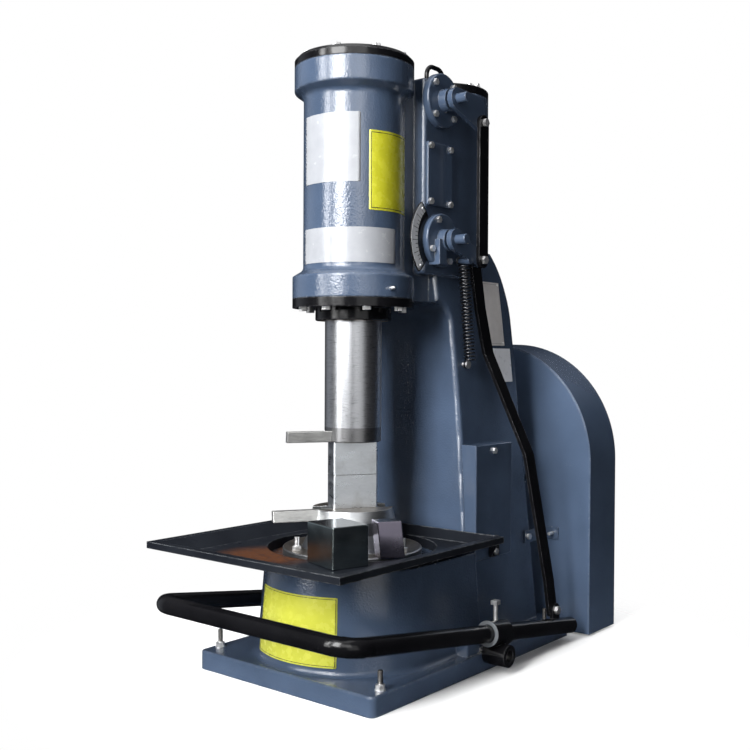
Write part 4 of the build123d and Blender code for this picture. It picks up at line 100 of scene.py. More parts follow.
# Graduated strip on the index plate: its centre, radii and ends in degrees, its ticks and its screws
INDEX_FACE_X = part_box("index_plate")[1][0]
INDEX_CENTRE_Y = 0.150
INDEX_CENTRE_Z = 0.937
INDEX_INNER = 0.0795
INDEX_OUTER = 0.1015
INDEX_MIDDLE = (INDEX_INNER + INDEX_OUTER) / 2
INDEX_SPAN = (130, 224)
TICK_PITCH = 0.0092
TICK_WIDTH = 0.0016
TICK_LENGTH = 0.0090
LONG_TICK_PITCH = 3 * TICK_PITCH
LONG_TICK_LENGTH = 2 * TICK_LENGTH
INDEX_SCREW_INSET = 0.006
INDEX_SCREW_RADIUS = 0.0032
INDEX_SCREW_HEIGHT = 0.0022

# Two plates on the right side of the column: their lower front corners and sizes, and the rivets of one
METAL_PLATE_CORNER = (0.336, 0.708)
METAL_PLATE_SIZE = (0.079, 0.152)
METAL_PLATE_LIFT = 0.0008
PALE_PLATE_CORNER = (0.362, 0.621)
PALE_PLATE_SIZE = (0.076, 0.080)
RIVET_INSET = 0.006
RIVET_RADIUS = 0.0026
RIVET_HEIGHT = 0.0018
RIVET_WAY = (1, 0, 0.1)

# Round heads of rivets and screws: shares of their radius and height, from the foot up
HEAD_PROFILE = ((1.0, -0.2), (1.0, 0.35), (0.88, 0.72), (0.60, 0.94), (0.28, 1.0))
HEAD_SEGMENTS = 20

# Edges broken on the dies, wedges and loose blocks
DIE_BREAK = 0.0022
WEDGE_BREAK = 0.0014
BLOCK_BREAK = 0.0026
BREAK_SEGMENTS = 2
SHARP_ANGLE = math.radians(30)
FLAT_ANGLE = math.radians(1)
SAME_PLACE = 1e-6

# Sawn front ends of the clamp sleeves on the treadle arms
TREADLE_PITCH = math.radians(8.4)
TREADLE_ARM_X = 0.266
CLAMP_FRONT_Y = 0.13334
CLAMP_FRONT_Z = 0.08982
CLAMP_FRONT_WAY = (0, -math.cos(TREADLE_PITCH), math.sin(TREADLE_PITCH))
CLAMP_RING_INNER = 0.0196
CLAMP_RING_OUTER = 0.0275
CLAMP_RING_DEPTH = 0.0014
CLAMP_RING_CHAMFER = CLAMP_RING_DEPTH / 2
CLAMP_RING_SEGMENTS = 48

# Threads that show above the nuts of the anchor studs
ANCHOR_X = 0.226
ANCHOR_FRONT_Y = -0.180
ANCHOR_REAR_Y = 0.446
ANCHOR_RADIUS = 0.005
THREAD_LOW = 0.0525
THREAD_HIGH = 0.0786
THREAD_PITCH = 0.0015
THREAD_CREST = 0.0004
THREAD_ROOT = 0.00005
THREAD_POINT_INSET = 0.0008
THREAD_POINT_RISE = 0.0009
THREAD_SEGMENTS = 24

# Brown forge scale: the point that it gathers round and its reach, and how much rougher it is
PEDESTAL_SCALE = ((-0.17, -0.02, PEDESTAL_TOP_Z), 0.20)
TRAY_SCALE = ((-0.06, -0.21, 0.266), 0.12)
SCALE_ROUGHENS = 0.5

# Dark band round the foot of the ram: its upper edge, how soft that is, and its strength
RAM_BAND_TOP = 0.5265
BAND_SOFTNESS = 0.0006
BAND_STRENGTH = 0.6

# Heights of the reliefs in the materials, the roughness of a clear coat, and grain that runs no way
CAST_RELIEF = 0.0012
PEEL_RELIEF = 0.0010
TOOL_RELIEF = 0.0003
SHEET_RELIEF = 0.0008
COAT_ROUGHNESS = 0.06
NO_GRAIN = (1, 1, 1)

# Pairs of tones, darker first, as linear red, green and blue
SLATE = ((0.040, 0.059, 0.096), (0.053, 0.077, 0.124))
GUARD_SLATE = ((0.053, 0.078, 0.126), (0.066, 0.096, 0.155))
BLACK = ((0.0025, 0.0025, 0.003), (0.005, 0.005, 0.006))
TRAY_BLACK = ((0.007, 0.008, 0.011), (0.012, 0.014, 0.018))
RING_GREY = ((0.075, 0.083, 0.090), (0.14, 0.15, 0.16))
MOTOR_GREY = ((0.030, 0.034, 0.040), (0.045, 0.050, 0.058))
RUBBER = ((0.010, 0.010, 0.010), (0.020, 0.020, 0.020))
RAM_STEEL = ((0.40, 0.41, 0.43), (0.50, 0.51, 0.53))
DIE_STEEL = ((0.58, 0.61, 0.64), (0.72, 0.75, 0.78))
WEDGE_STEEL = ((0.56, 0.56, 0.55), (0.72, 0.72, 0.70))
BLOCK_STEEL = ((0.30, 0.36, 0.36), (0.42, 0.48, 0.48))
SMALL_BLOCK_STEEL = ((0.22, 0.20, 0.26), (0.32, 0.30, 0.37))
ANVIL_IRON = ((0.28, 0.29, 0.30), (0.40, 0.41, 0.42))
TURNED_IRON = ((0.22, 0.23, 0.24), (0.36, 0.37, 0.38))
BRIGHT_STEEL = ((0.50, 0.50, 0.50), (0.66, 0.66, 0.66))
ZINC = ((0.80, 0.80, 0.80), (0.95, 0.95, 0.95))
SPRING_STEEL = ((0.05, 0.05, 0.055), (0.11, 0.11, 0.115))
OXIDE = ((0.06, 0.055, 0.05), (0.14, 0.13, 0.12))
BRONZE = ((0.40, 0.26, 0.12), (0.60, 0.42, 0.22))
SCALE_BROWN = ((0.040, 0.015, 0.007), (0.085, 0.033, 0.015))
WHITE = ((0.27, 0.28, 0.30), (0.31, 0.32, 0.34))
YELLOW = ((0.42, 0.41, 0.018), (0.50, 0.49, 0.028))
FOOT_YELLOW = ((0.42, 0.43, 0.046), (0.50, 0.51, 0.060))
INDEX_GREY = ((0.40, 0.41, 0.43), (0.50, 0.51, 0.53))
ALUMINIUM = ((0.54, 0.52, 0.51), (0.64, 0.62, 0.61))
PALE = ((0.72, 0.74, 0.78), (0.80, 0.82, 0.86))
FLOOR_PALE = ((0.90, 0.90, 0.90), (0.94, 0.94, 0.94))
ROOM_DIM = ((0.013, 0.014, 0.018), (0.25, 0.25, 0.26))

# Single colours of dust, of edges that are part scuffing and part painted highlight, chips, stains, faces
# that look up, lines and the left of the room
SLATE_DUST_WEAR_AND_SHEEN = (0.20, 0.24, 0.30)
SLATE_CHIP = (0.52, 0.54, 0.56)
BLACK_DUST_WEAR_AND_SHEEN = (0.16, 0.16, 0.17)
BLACK_CHIP = (0.30, 0.30, 0.31)
TRAY_WEAR_AND_SHEEN = (0.16, 0.17, 0.18)
HANDLED = (0.10, 0.095, 0.09)
DIE_STAIN = (0.36, 0.37, 0.36)
BRIGHT_RUB_AND_SHEEN = (0.95, 0.95, 0.95)
BLOCK_TOP = (0.60, 0.61, 0.61)
SMALL_BLOCK_TOP = (0.50, 0.50, 0.52)
ANVIL_TOP = (0.30, 0.27, 0.24)
DARK_LINE = (0.03, 0.03, 0.02)
GREY_LINE = (0.26, 0.25, 0.25)
ROOM_LEFT = (0.34, 0.36, 0.40)

# Floor: its middle and size, and the distances where it starts and ends to fade
FLOOR_CENTRE = (0, 0.15, -0.0006)
FLOOR_RADIUS = 4
FLOOR_SEGMENTS = 96
FLOOR_FADE = (0.40, 0.85)

# Sockets of a Mix node that mixes colours
MIX_FACTOR = 0
MIX_FIRST = 6
MIX_SECOND = 7
MIX_RESULT = 2


def start_material(name):
    """A new material, its node tree and its shader."""
    material = bpy.data.materials.new(name)
    material.use_nodes = True
    tree = material.node_tree
    return material, tree, tree.nodes["Principled BSDF"]


def add_node(tree, kind, inputs=None, **settings):
    """A node with its settings, and with values on its input sockets."""
    node = tree.nodes.new(kind)
    for key, value in settings.items():
        setattr(node, key, value)
    for key, value in (inputs or {}).items():
        node.inputs[key].default_value = value
    return node


def place(tree, stretch=NO_GRAIN):
    """Coordinates in the object's own frame, in metres, stretched for grain."""
    source = add_node(tree, "ShaderNodeTexCoord")
    mapping = add_node(tree, "ShaderNodeMapping", {"Scale": stretch})
    tree.links.new(source.outputs["Object"], mapping.inputs["Vector"])
    return mapping.outputs["Vector"]


def noise(tree, where, scale, detail=3.0, roughness=0.55):
    """Noise between nothing and one; a larger scale is finer."""
    settings = {"Scale": scale, "Detail": detail, "Roughness": roughness}
    node = add_node(tree, "ShaderNodeTexNoise", settings)
    tree.links.new(where, node.inputs["Vector"])
    return node.outputs["Fac"]


def spread(tree, value, low, high, to_low=0.0, to_high=1.0):
    """A value carried from one range to another, and held inside it."""
    settings = {"From Min": low, "From Max": high, "To Min": to_low, "To Max": to_high}
    node = add_node(tree, "ShaderNodeMapRange", settings)
    tree.links.new(value, node.inputs["Value"])
    return node.outputs["Result"]


def combined(tree, operation, first, second):
    """One operation on two values, each a socket or a number."""
    node = add_node(tree, "ShaderNodeMath", operation=operation)
    for socket, value in zip(node.inputs, (first, second)):
        if isinstance(value, (int, float)):
            socket.default_value = value
        else:
            tree.links.new(value, socket)
    return node.outputs[0]


def times(tree, first, second):
    """One value times another."""
    return combined(tree, "MULTIPLY", first, second)


def mixed(tree, factor, first, second):
    """A colour between two colours, each a socket or three numbers."""
    node = add_node(tree, "ShaderNodeMix", data_type="RGBA")
    tree.links.new(factor, node.inputs[MIX_FACTOR])
    for index, value in ((MIX_FIRST, first), (MIX_SECOND, second)):
        if isinstance(value, tuple):
            node.inputs[index].default_value = (*value, 1.0)
        else:
            tree.links.new(value, node.inputs[index])
    return node.outputs[MIX_RESULT]


def bump(tree, height, strength, distance, normal=None):
    """Normals that follow a height, on top of other normals where they are given."""
    node = add_node(tree, "ShaderNodeBump", {"Strength": strength, "Distance": distance})
    tree.links.new(height, node.inputs["Height"])
    if normal is not None:
        tree.links.new(normal, node.inputs["Normal"])
    return node.outputs["Normal"]


def soft_edges(tree, radius):
    """Normals rounded over sharp edges, and a mask that is one along those edges."""
    bevel = add_node(tree, "ShaderNodeBevel", {"Radius": radius}, samples=4)
    flat = add_node(tree, "ShaderNodeNewGeometry")
    dot = add_node(tree, "ShaderNodeVectorMath", operation="DOT_PRODUCT")
    tree.links.new(bevel.outputs["Normal"], dot.inputs[0])
    tree.links.new(flat.outputs["Normal"], dot.inputs[1])
    mask = spread(tree, dot.outputs["Value"], low=0.985, high=0.88)
    return bevel.outputs["Normal"], mask


def axis_of(tree, where, axis):
    """One of the three numbers of a vector."""
    parts = add_node(tree, "ShaderNodeSeparateXYZ")
    tree.links.new(where, parts.inputs["Vector"])
    return parts.outputs[axis]


def facing_up(tree):
    """One on faces that look up, nothing on the rest."""
    source = add_node(tree, "ShaderNodeNewGeometry")
    return spread(tree, axis_of(tree, source.outputs["Normal"], "Z"), low=0.7, high=0.9)


def rusted(tree, where, colour, smear, centre, reach):
    """Brown forge scale on the faces that look up near one point; returns colour and roughness."""
    away = add_node(tree, "ShaderNodeVectorMath", {1: centre}, operation="DISTANCE")
    tree.links.new(where, away.inputs[0])
    near = spread(tree, away.outputs["Value"], low=reach, high=reach / 2)
    blotch = spread(tree, noise(tree, where, scale=60, detail=5, roughness=0.65), low=0.25, high=0.50)
    mask = times(tree, times(tree, near, facing_up(tree)), blotch)
    brown = mixed(tree, noise(tree, where, scale=150, detail=4), *SCALE_BROWN)
    rough = combined(tree, "ADD", smear, times(tree, mask, SCALE_ROUGHENS))
    return mixed(tree, mask, colour, brown), rough


def enamel(name, tones, gloss=0.16, peel=0.05, cast=0.12, dust_wear_and_sheen=SLATE_DUST_WEAR_AND_SHEEN, edge_wear_and_sheen=0.5, edge=0.0022,
           dusty=0.15, chip=SLATE_CHIP, chipped=0.0, coat=0.6, shine=0.5, rust=None):
    """Paint with orange peel, slow waves of the metal below, lighter edges that are part scuffing and part
    painted highlight, and chips along them.
    """
    material, tree, shader = start_material(name)
    where = place(tree)
    tone = spread(tree, noise(tree, where, scale=7, detail=4), low=0.32, high=0.68)
    colour = mixed(tree, tone, *tones)
    specks = noise(tree, where, scale=90, detail=6, roughness=0.7)
    colour = mixed(tree, spread(tree, specks, low=0.62, high=0.82, to_high=dusty), colour, dust_wear_and_sheen)
    rounded, rim = soft_edges(tree, edge)
    patchy = spread(tree, noise(tree, where, scale=55, detail=5), low=0.35, high=0.62)
    # Edges mixed towards a lighter colour: part scuffing, part a painted highlight along the edges.
    colour = mixed(tree, times(tree, times(tree, rim, patchy), edge_wear_and_sheen), colour, dust_wear_and_sheen)
    if chipped:
        flakes = noise(tree, where, scale=120, detail=4, roughness=0.7)
        chips = spread(tree, flakes, low=0.60, high=0.64, to_high=chipped)
        colour = mixed(tree, times(tree, rim, chips), colour, chip)
    smudge = noise(tree, where, scale=16, detail=5, roughness=0.6)
    smear = spread(tree, smudge, low=0.3, high=0.7, to_low=gloss * 0.8, to_high=gloss * 1.35)
    if rust is not None:
        colour, smear = rusted(tree, where, colour, smear, *rust)
    tree.links.new(colour, shader.inputs["Base Color"])
    tree.links.new(smear, shader.inputs["Roughness"])
    waves = bump(tree, noise(tree, where, scale=42, detail=3), cast, CAST_RELIEF, rounded)
    skin = bump(tree, noise(tree, where, scale=230, detail=2), peel, PEEL_RELIEF, waves)
    tree.links.new(skin, shader.inputs["Normal"])
    tree.links.new(skin, shader.inputs["Coat Normal"])
    shader.inputs["Specular IOR Level"].default_value = shine
    shader.inputs["Coat Weight"].default_value = coat
    shader.inputs["Coat Roughness"].default_value = COAT_ROUGHNESS
    return material


def steel(name, tones, gloss=0.24, grain=(1, 1, 60), grain_scale=40, scratch=0.08, edge=0.0008,
          stain=HANDLED, stained=0.25, rubbed_and_sheen=0.6, top=None, band=None):
    """Bare worked metal: fine marks drawn along its grain, patches of handling, and brighter edges that are
    part scuffing and part painted highlight.
    """
    material, tree, shader = start_material(name)
    shader.inputs["Metallic"].default_value = 1.0
    where = place(tree)
    along = place(tree, grain)
    marks = noise(tree, along, grain_scale, detail=5, roughness=0.65)
    colour = mixed(tree, spread(tree, marks, low=0.3, high=0.7), *tones)
    hands = noise(tree, where, scale=24, detail=6, roughness=0.62)
    colour = mixed(tree, spread(tree, hands, low=0.50, high=0.78, to_high=stained), colour, stain)
    if top is not None:
        colour = mixed(tree, facing_up(tree), colour, top)
    if band is not None:
        height = axis_of(tree, where, "Z")
        below = spread(tree, height, band + BAND_SOFTNESS, band - BAND_SOFTNESS, to_high=BAND_STRENGTH)
        colour = mixed(tree, below, colour, stain)
    rounded, rim = soft_edges(tree, edge)
    # Edges mixed towards near white: part scuffing, part a painted highlight along the edges.
    colour = mixed(tree, times(tree, rim, rubbed_and_sheen), colour, BRIGHT_RUB_AND_SHEEN)
    tree.links.new(colour, shader.inputs["Base Color"])
    rough = spread(tree, marks, low=0.3, high=0.7, to_low=gloss * 0.75, to_high=gloss * 1.4)
    tree.links.new(rough, shader.inputs["Roughness"])
    tree.links.new(bump(tree, marks, scratch, TOOL_RELIEF, rounded), shader.inputs["Normal"])
    return material


def sheet_place(tree):
    """Metres across and metres up a sheet."""
    source = add_node(tree, "ShaderNodeUVMap", uv_map="sheet")
    return axis_of(tree, source.outputs["UV"], "X"), axis_of(tree, source.outputs["UV"], "Y")


def border_line(tree, size, inset, width):
    """One on a line that runs round a sheet, a little in from its edge."""
    from_sides = []
    for from_low, length in zip(sheet_place(tree), size):
        from_high = combined(tree, "SUBTRACT", length, from_low)
        from_sides.append(combined(tree, "MINIMUM", from_low, from_high))
    from_edge = combined(tree, "MINIMUM", *from_sides)
    past_start = combined(tree, "GREATER_THAN", from_edge, inset)
    before_end = combined(tree, "LESS_THAN", from_edge, inset + width)
    return times(tree, past_start, before_end)


def tick_lines(tree):
    """One on the cross lines of the graduated strip, where every third line is longer."""
    across, up = sheet_place(tree)
    masks = []
    for pitch, length in ((TICK_PITCH, TICK_LENGTH), (LONG_TICK_PITCH, LONG_TICK_LENGTH)):
        along = combined(tree, "MODULO", across, pitch)
        on_line = combined(tree, "LESS_THAN", along, TICK_WIDTH)
        in_reach = combined(tree, "LESS_THAN", up, length)
        masks.append(times(tree, on_line, in_reach))
    return combined(tree, "MAXIMUM", *masks)


def bare_sheet(name, tones, gloss, size=None, border=None, line_colour=DARK_LINE, graduated=False):
    """A plain sheet with faint handling marks, and with a border line or graduations where it has them."""
    material, tree, shader = start_material(name)
    where = place(tree)
    tone = spread(tree, noise(tree, where, scale=30, detail=4), low=0.3, high=0.7)
    colour = mixed(tree, tone, *tones)
    if border is not None:
        colour = mixed(tree, border_line(tree, size, *border), colour, line_colour)
    if graduated:
        colour = mixed(tree, tick_lines(tree), colour, line_colour)
    tree.links.new(colour, shader.inputs["Base Color"])
    smudge = noise(tree, where, scale=60, detail=5)
    rough = spread(tree, smudge, low=0.3, high=0.7, to_low=gloss * 0.8, to_high=gloss * 1.3)
    tree.links.new(rough, shader.inputs["Roughness"])
    waves = noise(tree, where, scale=35, detail=2)
    ripple = bump(tree, waves, strength=0.02, distance=SHEET_RELIEF)
    tree.links.new(ripple, shader.inputs["Normal"])
    return material


def link_piece(name, shape, material, body):
    """A new piece from a bmesh, in the CAD frame, riding on a body."""
    mesh = bpy.data.meshes.new(name)
    bmesh.ops.recalc_face_normals(shape, faces=shape.faces)
    shape.to_mesh(mesh)
    shape.free()
    mesh.materials.append(material)
    piece = bpy.data.objects.new(name, mesh)
    bpy.context.scene.collection.objects.link(piece)
    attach(piece, body)
    return piece


def sheet_heights(height, corner):
    """Heights of a sheet's rows, close together round its corners."""
    turns = [math.radians(90 * step / CORNER_STEPS) for step in range(CORNER_STEPS + 1)]
    bends = [corner * (1 - math.cos(turn)) for turn in turns]
    between = [height * row / SHEET_ROWS for row in range(1, SHEET_ROWS)]
    return bends + between + [height - bend for bend in reversed(bends)]


def corner_cut(v, height, corner):
    """How far a round corner draws in the side of a sheet, at one height."""
    near = min(v, height - v)
    if near >= corner:
        return 0.0
    return corner - math.sqrt(corner ** 2 - (corner - near) ** 2)


def add_sheet(name, size, corner, at, material, lift=PLATE_LIFT, columns=SHEET_COLUMNS):
    """A thin closed sheet with round corners; at(u, v, lift) gives its points from metres across and up."""
    width, height = size
    rows = sheet_heights(height, corner)
    shape = bmesh.new()
    sheet_map = shape.loops.layers.uv.new("sheet")
    flat_places = {}
    grids = []
    for level in (0.0, lift):
        grid = []
        for v in rows:
            cut = corner_cut(v, height, corner)
            line = []
            for column in range(columns + 1):
                u = cut + (width - 2 * cut) * column / columns
                vertex = shape.verts.new(at(u, v, level))
                flat_places[vertex] = (u, v)
                line.append(vertex)
            grid.append(line)
        grids.append(grid)
    for grid in grids:
        for low, high in zip(grid, grid[1:]):
            for column in range(columns):
                shape.faces.new((low[column], low[column + 1], high[column + 1], high[column]))
    under, over = grids
    for column in range(columns):
        for row in (0, -1):
            inner = (under[row][column], under[row][column + 1])
            outer = (over[row][column + 1], over[row][column])
            shape.faces.new((*inner, *outer))
    for row in range(len(rows) - 1):
        for column in (0, -1):
            inner = (under[row][column], under[row + 1][column])
            outer = (over[row + 1][column], over[row][column])
            shape.faces.new((*inner, *outer))
    for face in shape.faces:
        face.smooth = True
        for loop in face.loops:
            loop[sheet_map].uv = flat_places[loop.vert]
    link_piece(name, shape, material, "frame")


def span_length(radius, span):
    """Length of an arc between two angles in degrees."""
    start, end = span
    return radius * math.radians(end - start)


def round_barrel(start, low):
    """Points of a sheet wrapped on the barrel, from a start angle in degrees and a height."""
    def at(u, v, lift):
        turn = math.radians(start) + u / BARREL_RADIUS
        radius = BARREL_RADIUS + lift
        return (radius * math.cos(turn), radius * math.sin(turn), low + v)
    return at


def round_pedestal(start, low):
    """Points of a sheet wrapped on the tapered pedestal, from a start angle in degrees and a height."""
    def at(u, v, lift):
        turn = math.radians(start) + u / PEDESTAL_MIDDLE_RADIUS
        radius = PEDESTAL_FOOT_RADIUS + PEDESTAL_SLOPE * (low + v - PEDESTAL_FOOT_Z) + lift
        return (radius * math.cos(turn), radius * math.sin(turn), low + v)
    return at


def on_index_plate(u, v, lift):
    """Points of the graduated strip, from metres round and out, on the outer face of the index plate."""
    turn = math.radians(INDEX_SPAN[0]) + u / INDEX_MIDDLE
    radius = INDEX_INNER + v
    back = INDEX_CENTRE_Y + radius * math.cos(turn)
    height = INDEX_CENTRE_Z + radius * math.sin(turn)
    return (INDEX_FACE_X + lift, back, height)


def casting_tree():
    """The casting's faces, to be searched for points on them."""
    shape = bmesh.new()
    shape.from_mesh(cad_nodes["frame_casting"].data)
    tree = BVHTree.FromBMesh(shape)
    shape.free()
    return tree


def on_right_side(casting, corner):
    """Points of a sheet that lies on the right side of the casting, from its lower front corner."""
    front, low = corner

    def at(u, v, lift):
        start = Vector((CLEAR_X, front + u, low + v))
        spot, normal = casting.ray_cast(start, -RIGHT)[:2]
        return spot + normal * lift
    return at


def add_turned(shape, spot, way, profile, segments, closed=False, smooth=False):
    """A solid turned about a line through a point; its profile goes out and along, closed for a ring."""
    facing = Vector(way).to_track_quat("Z", "Y").to_matrix()
    rings = []
    for out, along in profile:
        ring = []
        for step in range(segments):
            turn = math.radians(360 / segments * step)
            local = Vector((out * math.cos(turn), out * math.sin(turn), along))
            ring.append(shape.verts.new(Vector(spot) + facing @ local))
        rings.append(ring)
    next_rings = rings[1:]
    if closed:
        next_rings.append(rings[0])
    for low, high in zip(rings, next_rings):
        for step in range(segments):
            after = (step + 1) % segments
            face = shape.faces.new((low[step], low[after], high[after], high[step]))
            face.smooth = smooth
    if not closed:
        shape.faces.new(rings[-1])
        shape.faces.new(list(reversed(rings[0])))


def add_heads(name, seats, radius, height):
    """Round rivet or screw heads in one piece; each seat is a point and the way the head faces."""
    profile = [(out * radius, up * height) for out, up in HEAD_PROFILE]
    shape = bmesh.new()
    for spot, way in seats:
        add_turned(shape, spot, way, profile, HEAD_SEGMENTS, smooth=True)
    link_piece(name, shape, looks["zinc"], "frame")


def add_worked_copy(node_name, width, look, body):
    """A copy of a prism-shaped node with its sharp edges broken, in place of that node."""
    shape = bmesh.new()
    shape.from_mesh(cad_nodes[node_name].data)
    bmesh.ops.remove_doubles(shape, verts=shape.verts, dist=SAME_PLACE)
    bmesh.ops.dissolve_limit(shape, angle_limit=FLAT_ANGLE, verts=shape.verts, edges=shape.edges)
    sharp = [edge for edge in shape.edges if edge.is_manifold and edge.calc_face_angle() > SHARP_ANGLE]
    bmesh.ops.bevel(shape, geom=sharp, offset=width, segments=BREAK_SEGMENTS, profile=0.5,
                    affect="EDGES", clamp_overlap=True)
    piece = link_piece(node_name + "_worked", shape, looks[look], body)
    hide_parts(node_name)


def add_barrel_plates():
    """A white plate, a white strip and a yellow plate, bare, round the barrel."""
    white_sheet = bare_sheet("white_sheet", WHITE, gloss=0.22)
    white_size = (span_length(BARREL_RADIUS, WHITE_PLATE_SPAN), WHITE_PLATE_HEIGHT)
    white_at = round_barrel(WHITE_PLATE_SPAN[0], WHITE_PLATE_LOW)
    add_sheet("barrel_white_plate", white_size, WIDE_CORNER, white_at, white_sheet)
    strip_size = (span_length(BARREL_RADIUS, WHITE_STRIP_SPAN), WHITE_STRIP_HEIGHT)
    strip_at = round_barrel(WHITE_STRIP_SPAN[0], WHITE_STRIP_LOW)
    add_sheet("barrel_white_strip", strip_size, WIDE_CORNER, strip_at, white_sheet, columns=36)
    yellow_size = (span_length(BARREL_RADIUS, YELLOW_PLATE_SPAN), YELLOW_PLATE_HEIGHT)
    yellow_at = round_barrel(YELLOW_PLATE_SPAN[0], YELLOW_PLATE_LOW)
    yellow_sheet = bare_sheet("yellow_barrel_sheet", YELLOW, gloss=0.25, size=yellow_size,
                              border=YELLOW_PLATE_BORDER)
    add_sheet("barrel_yellow_plate", yellow_size, SMALL_CORNER, yellow_at, yellow_sheet)


def add_foot_plate():
    """A bare yellow plate on the front of the pedestal."""
    size = (span_length(PEDESTAL_MIDDLE_RADIUS, FOOT_PLATE_SPAN), FOOT_PLATE_HEIGHT)
    sheet = bare_sheet("yellow_foot_sheet", FOOT_YELLOW, gloss=0.25, size=size, border=FOOT_PLATE_BORDER)
    at = round_pedestal(FOOT_PLATE_SPAN[0], FOOT_PLATE_LOW)
    add_sheet("pedestal_yellow_plate", size, WIDE_CORNER, at, sheet, columns=30)


def add_index_strip():
    """The graduated strip on the index plate, and the screws at its ends."""
    length = span_length(INDEX_MIDDLE, INDEX_SPAN)
    width = INDEX_OUTER - INDEX_INNER
    sheet = bare_sheet("index_strip_sheet", INDEX_GREY, gloss=0.30, graduated=True)
    add_sheet("index_strip", (length, width), SMALL_CORNER, on_index_plate, sheet, columns=40)
    seats = []
    for along in (INDEX_SCREW_INSET, length - INDEX_SCREW_INSET):
        seats.append((on_index_plate(along, width / 2, PLATE_LIFT), RIGHT))
    add_heads("index_screws", seats, INDEX_SCREW_RADIUS, INDEX_SCREW_HEIGHT)


def add_column_plates():
    """Two bare plates on the right side of the column, near its rear edge, the upper one riveted."""
    casting = casting_tree()
    metal_sheet = bare_sheet("aluminium_sheet", ALUMINIUM, gloss=0.34, size=METAL_PLATE_SIZE,
                             border=METAL_PLATE_BORDER, line_colour=GREY_LINE)
    metal_at = on_right_side(casting, METAL_PLATE_CORNER)
    add_sheet("column_aluminium_plate", METAL_PLATE_SIZE, SMALL_CORNER, metal_at, metal_sheet,
              lift=METAL_PLATE_LIFT, columns=12)
    width, height = METAL_PLATE_SIZE
    seats = []
    for across in (RIVET_INSET, width - RIVET_INSET):
        for up in (RIVET_INSET, height - RIVET_INSET):
            seats.append((metal_at(across, up, METAL_PLATE_LIFT), RIVET_WAY))
    add_heads("column_plate_rivets", seats, RIVET_RADIUS, RIVET_HEIGHT)
    pale_sheet = bare_sheet("pale_sheet", PALE, gloss=0.30)
    pale_at = on_right_side(casting, PALE_PLATE_CORNER)
    add_sheet("column_pale_plate", PALE_PLATE_SIZE, SMALL_CORNER, pale_at, pale_sheet, columns=12)


def add_clamp_rings():
    """Pale rings, chamfered round the outside, where the front ends of the clamp sleeves were sawn."""
    profile = (
        (CLAMP_RING_INNER, 0.0),
        (CLAMP_RING_INNER, CLAMP_RING_DEPTH),
        (CLAMP_RING_OUTER - CLAMP_RING_CHAMFER, CLAMP_RING_DEPTH),
        (CLAMP_RING_OUTER, CLAMP_RING_DEPTH - CLAMP_RING_CHAMFER),
        (CLAMP_RING_OUTER, 0.0),
    )
    shape = bmesh.new()
    for side in (-1, 1):
        spot = (side * TREADLE_ARM_X, CLAMP_FRONT_Y, CLAMP_FRONT_Z)
        add_turned(shape, spot, CLAMP_FRONT_WAY, profile, CLAMP_RING_SEGMENTS, closed=True)
    link_piece("clamp_front_rings", shape, looks["ring"], "treadle")


def add_anchor_threads():
    """Threads over the tops of the anchor studs: closed sleeves with a saw-tooth side."""
    root = ANCHOR_RADIUS + THREAD_ROOT
    crest = ANCHOR_RADIUS + THREAD_CREST
    count = int((THREAD_HIGH - THREAD_LOW) / THREAD_PITCH)
    profile = [(root, THREAD_LOW)]
    for step in range(count):
        profile.append((crest, THREAD_LOW + (step + 0.5) * THREAD_PITCH))
        profile.append((root, THREAD_LOW + (step + 1) * THREAD_PITCH))
    point_z = THREAD_LOW + count * THREAD_PITCH + THREAD_POINT_RISE
    profile.append((ANCHOR_RADIUS - THREAD_POINT_INSET, point_z))
    shape = bmesh.new()
    for side in (-1, 1):
        for back in (ANCHOR_FRONT_Y, ANCHOR_REAR_Y):
            add_turned(shape, (side * ANCHOR_X, back, 0), UP, profile, THREAD_SEGMENTS)
    link_piece("anchor_threads", shape, looks["oxide"], "frame")


def make_floor():
    """A pale floor that shows the shadow round the base and fades out into the white beyond it."""
    mesh = bpy.data.meshes.new("studio_floor")
    shape = bmesh.new()
    bmesh.ops.create_circle(shape, cap_ends=True, segments=FLOOR_SEGMENTS, radius=FLOOR_RADIUS)
    shape.to_mesh(mesh)
    shape.free()
    floor = bpy.data.objects.new("studio_floor", mesh)
    floor.location = FLOOR_CENTRE
    floor.visible_glossy = False
    bpy.context.scene.collection.objects.link(floor)
    material, tree, shader = start_material("pale_floor")
    where = place(tree)
    tone = spread(tree, noise(tree, where, scale=2, detail=3), low=0.3, high=0.7)
    tree.links.new(mixed(tree, tone, *FLOOR_PALE), shader.inputs["Base Color"])
    shader.inputs["Roughness"].default_value = 0.8
    shader.inputs["Specular IOR Level"].default_value = 0.0
    reach = add_node(tree, "ShaderNodeVectorMath", operation="LENGTH")
    tree.links.new(where, reach.inputs[0])
    fade = spread(tree, reach.outputs["Value"], *FLOOR_FADE, to_low=1.0, to_high=0.0)
    tree.links.new(fade, shader.inputs["Alpha"])
    mesh.materials.append(material)


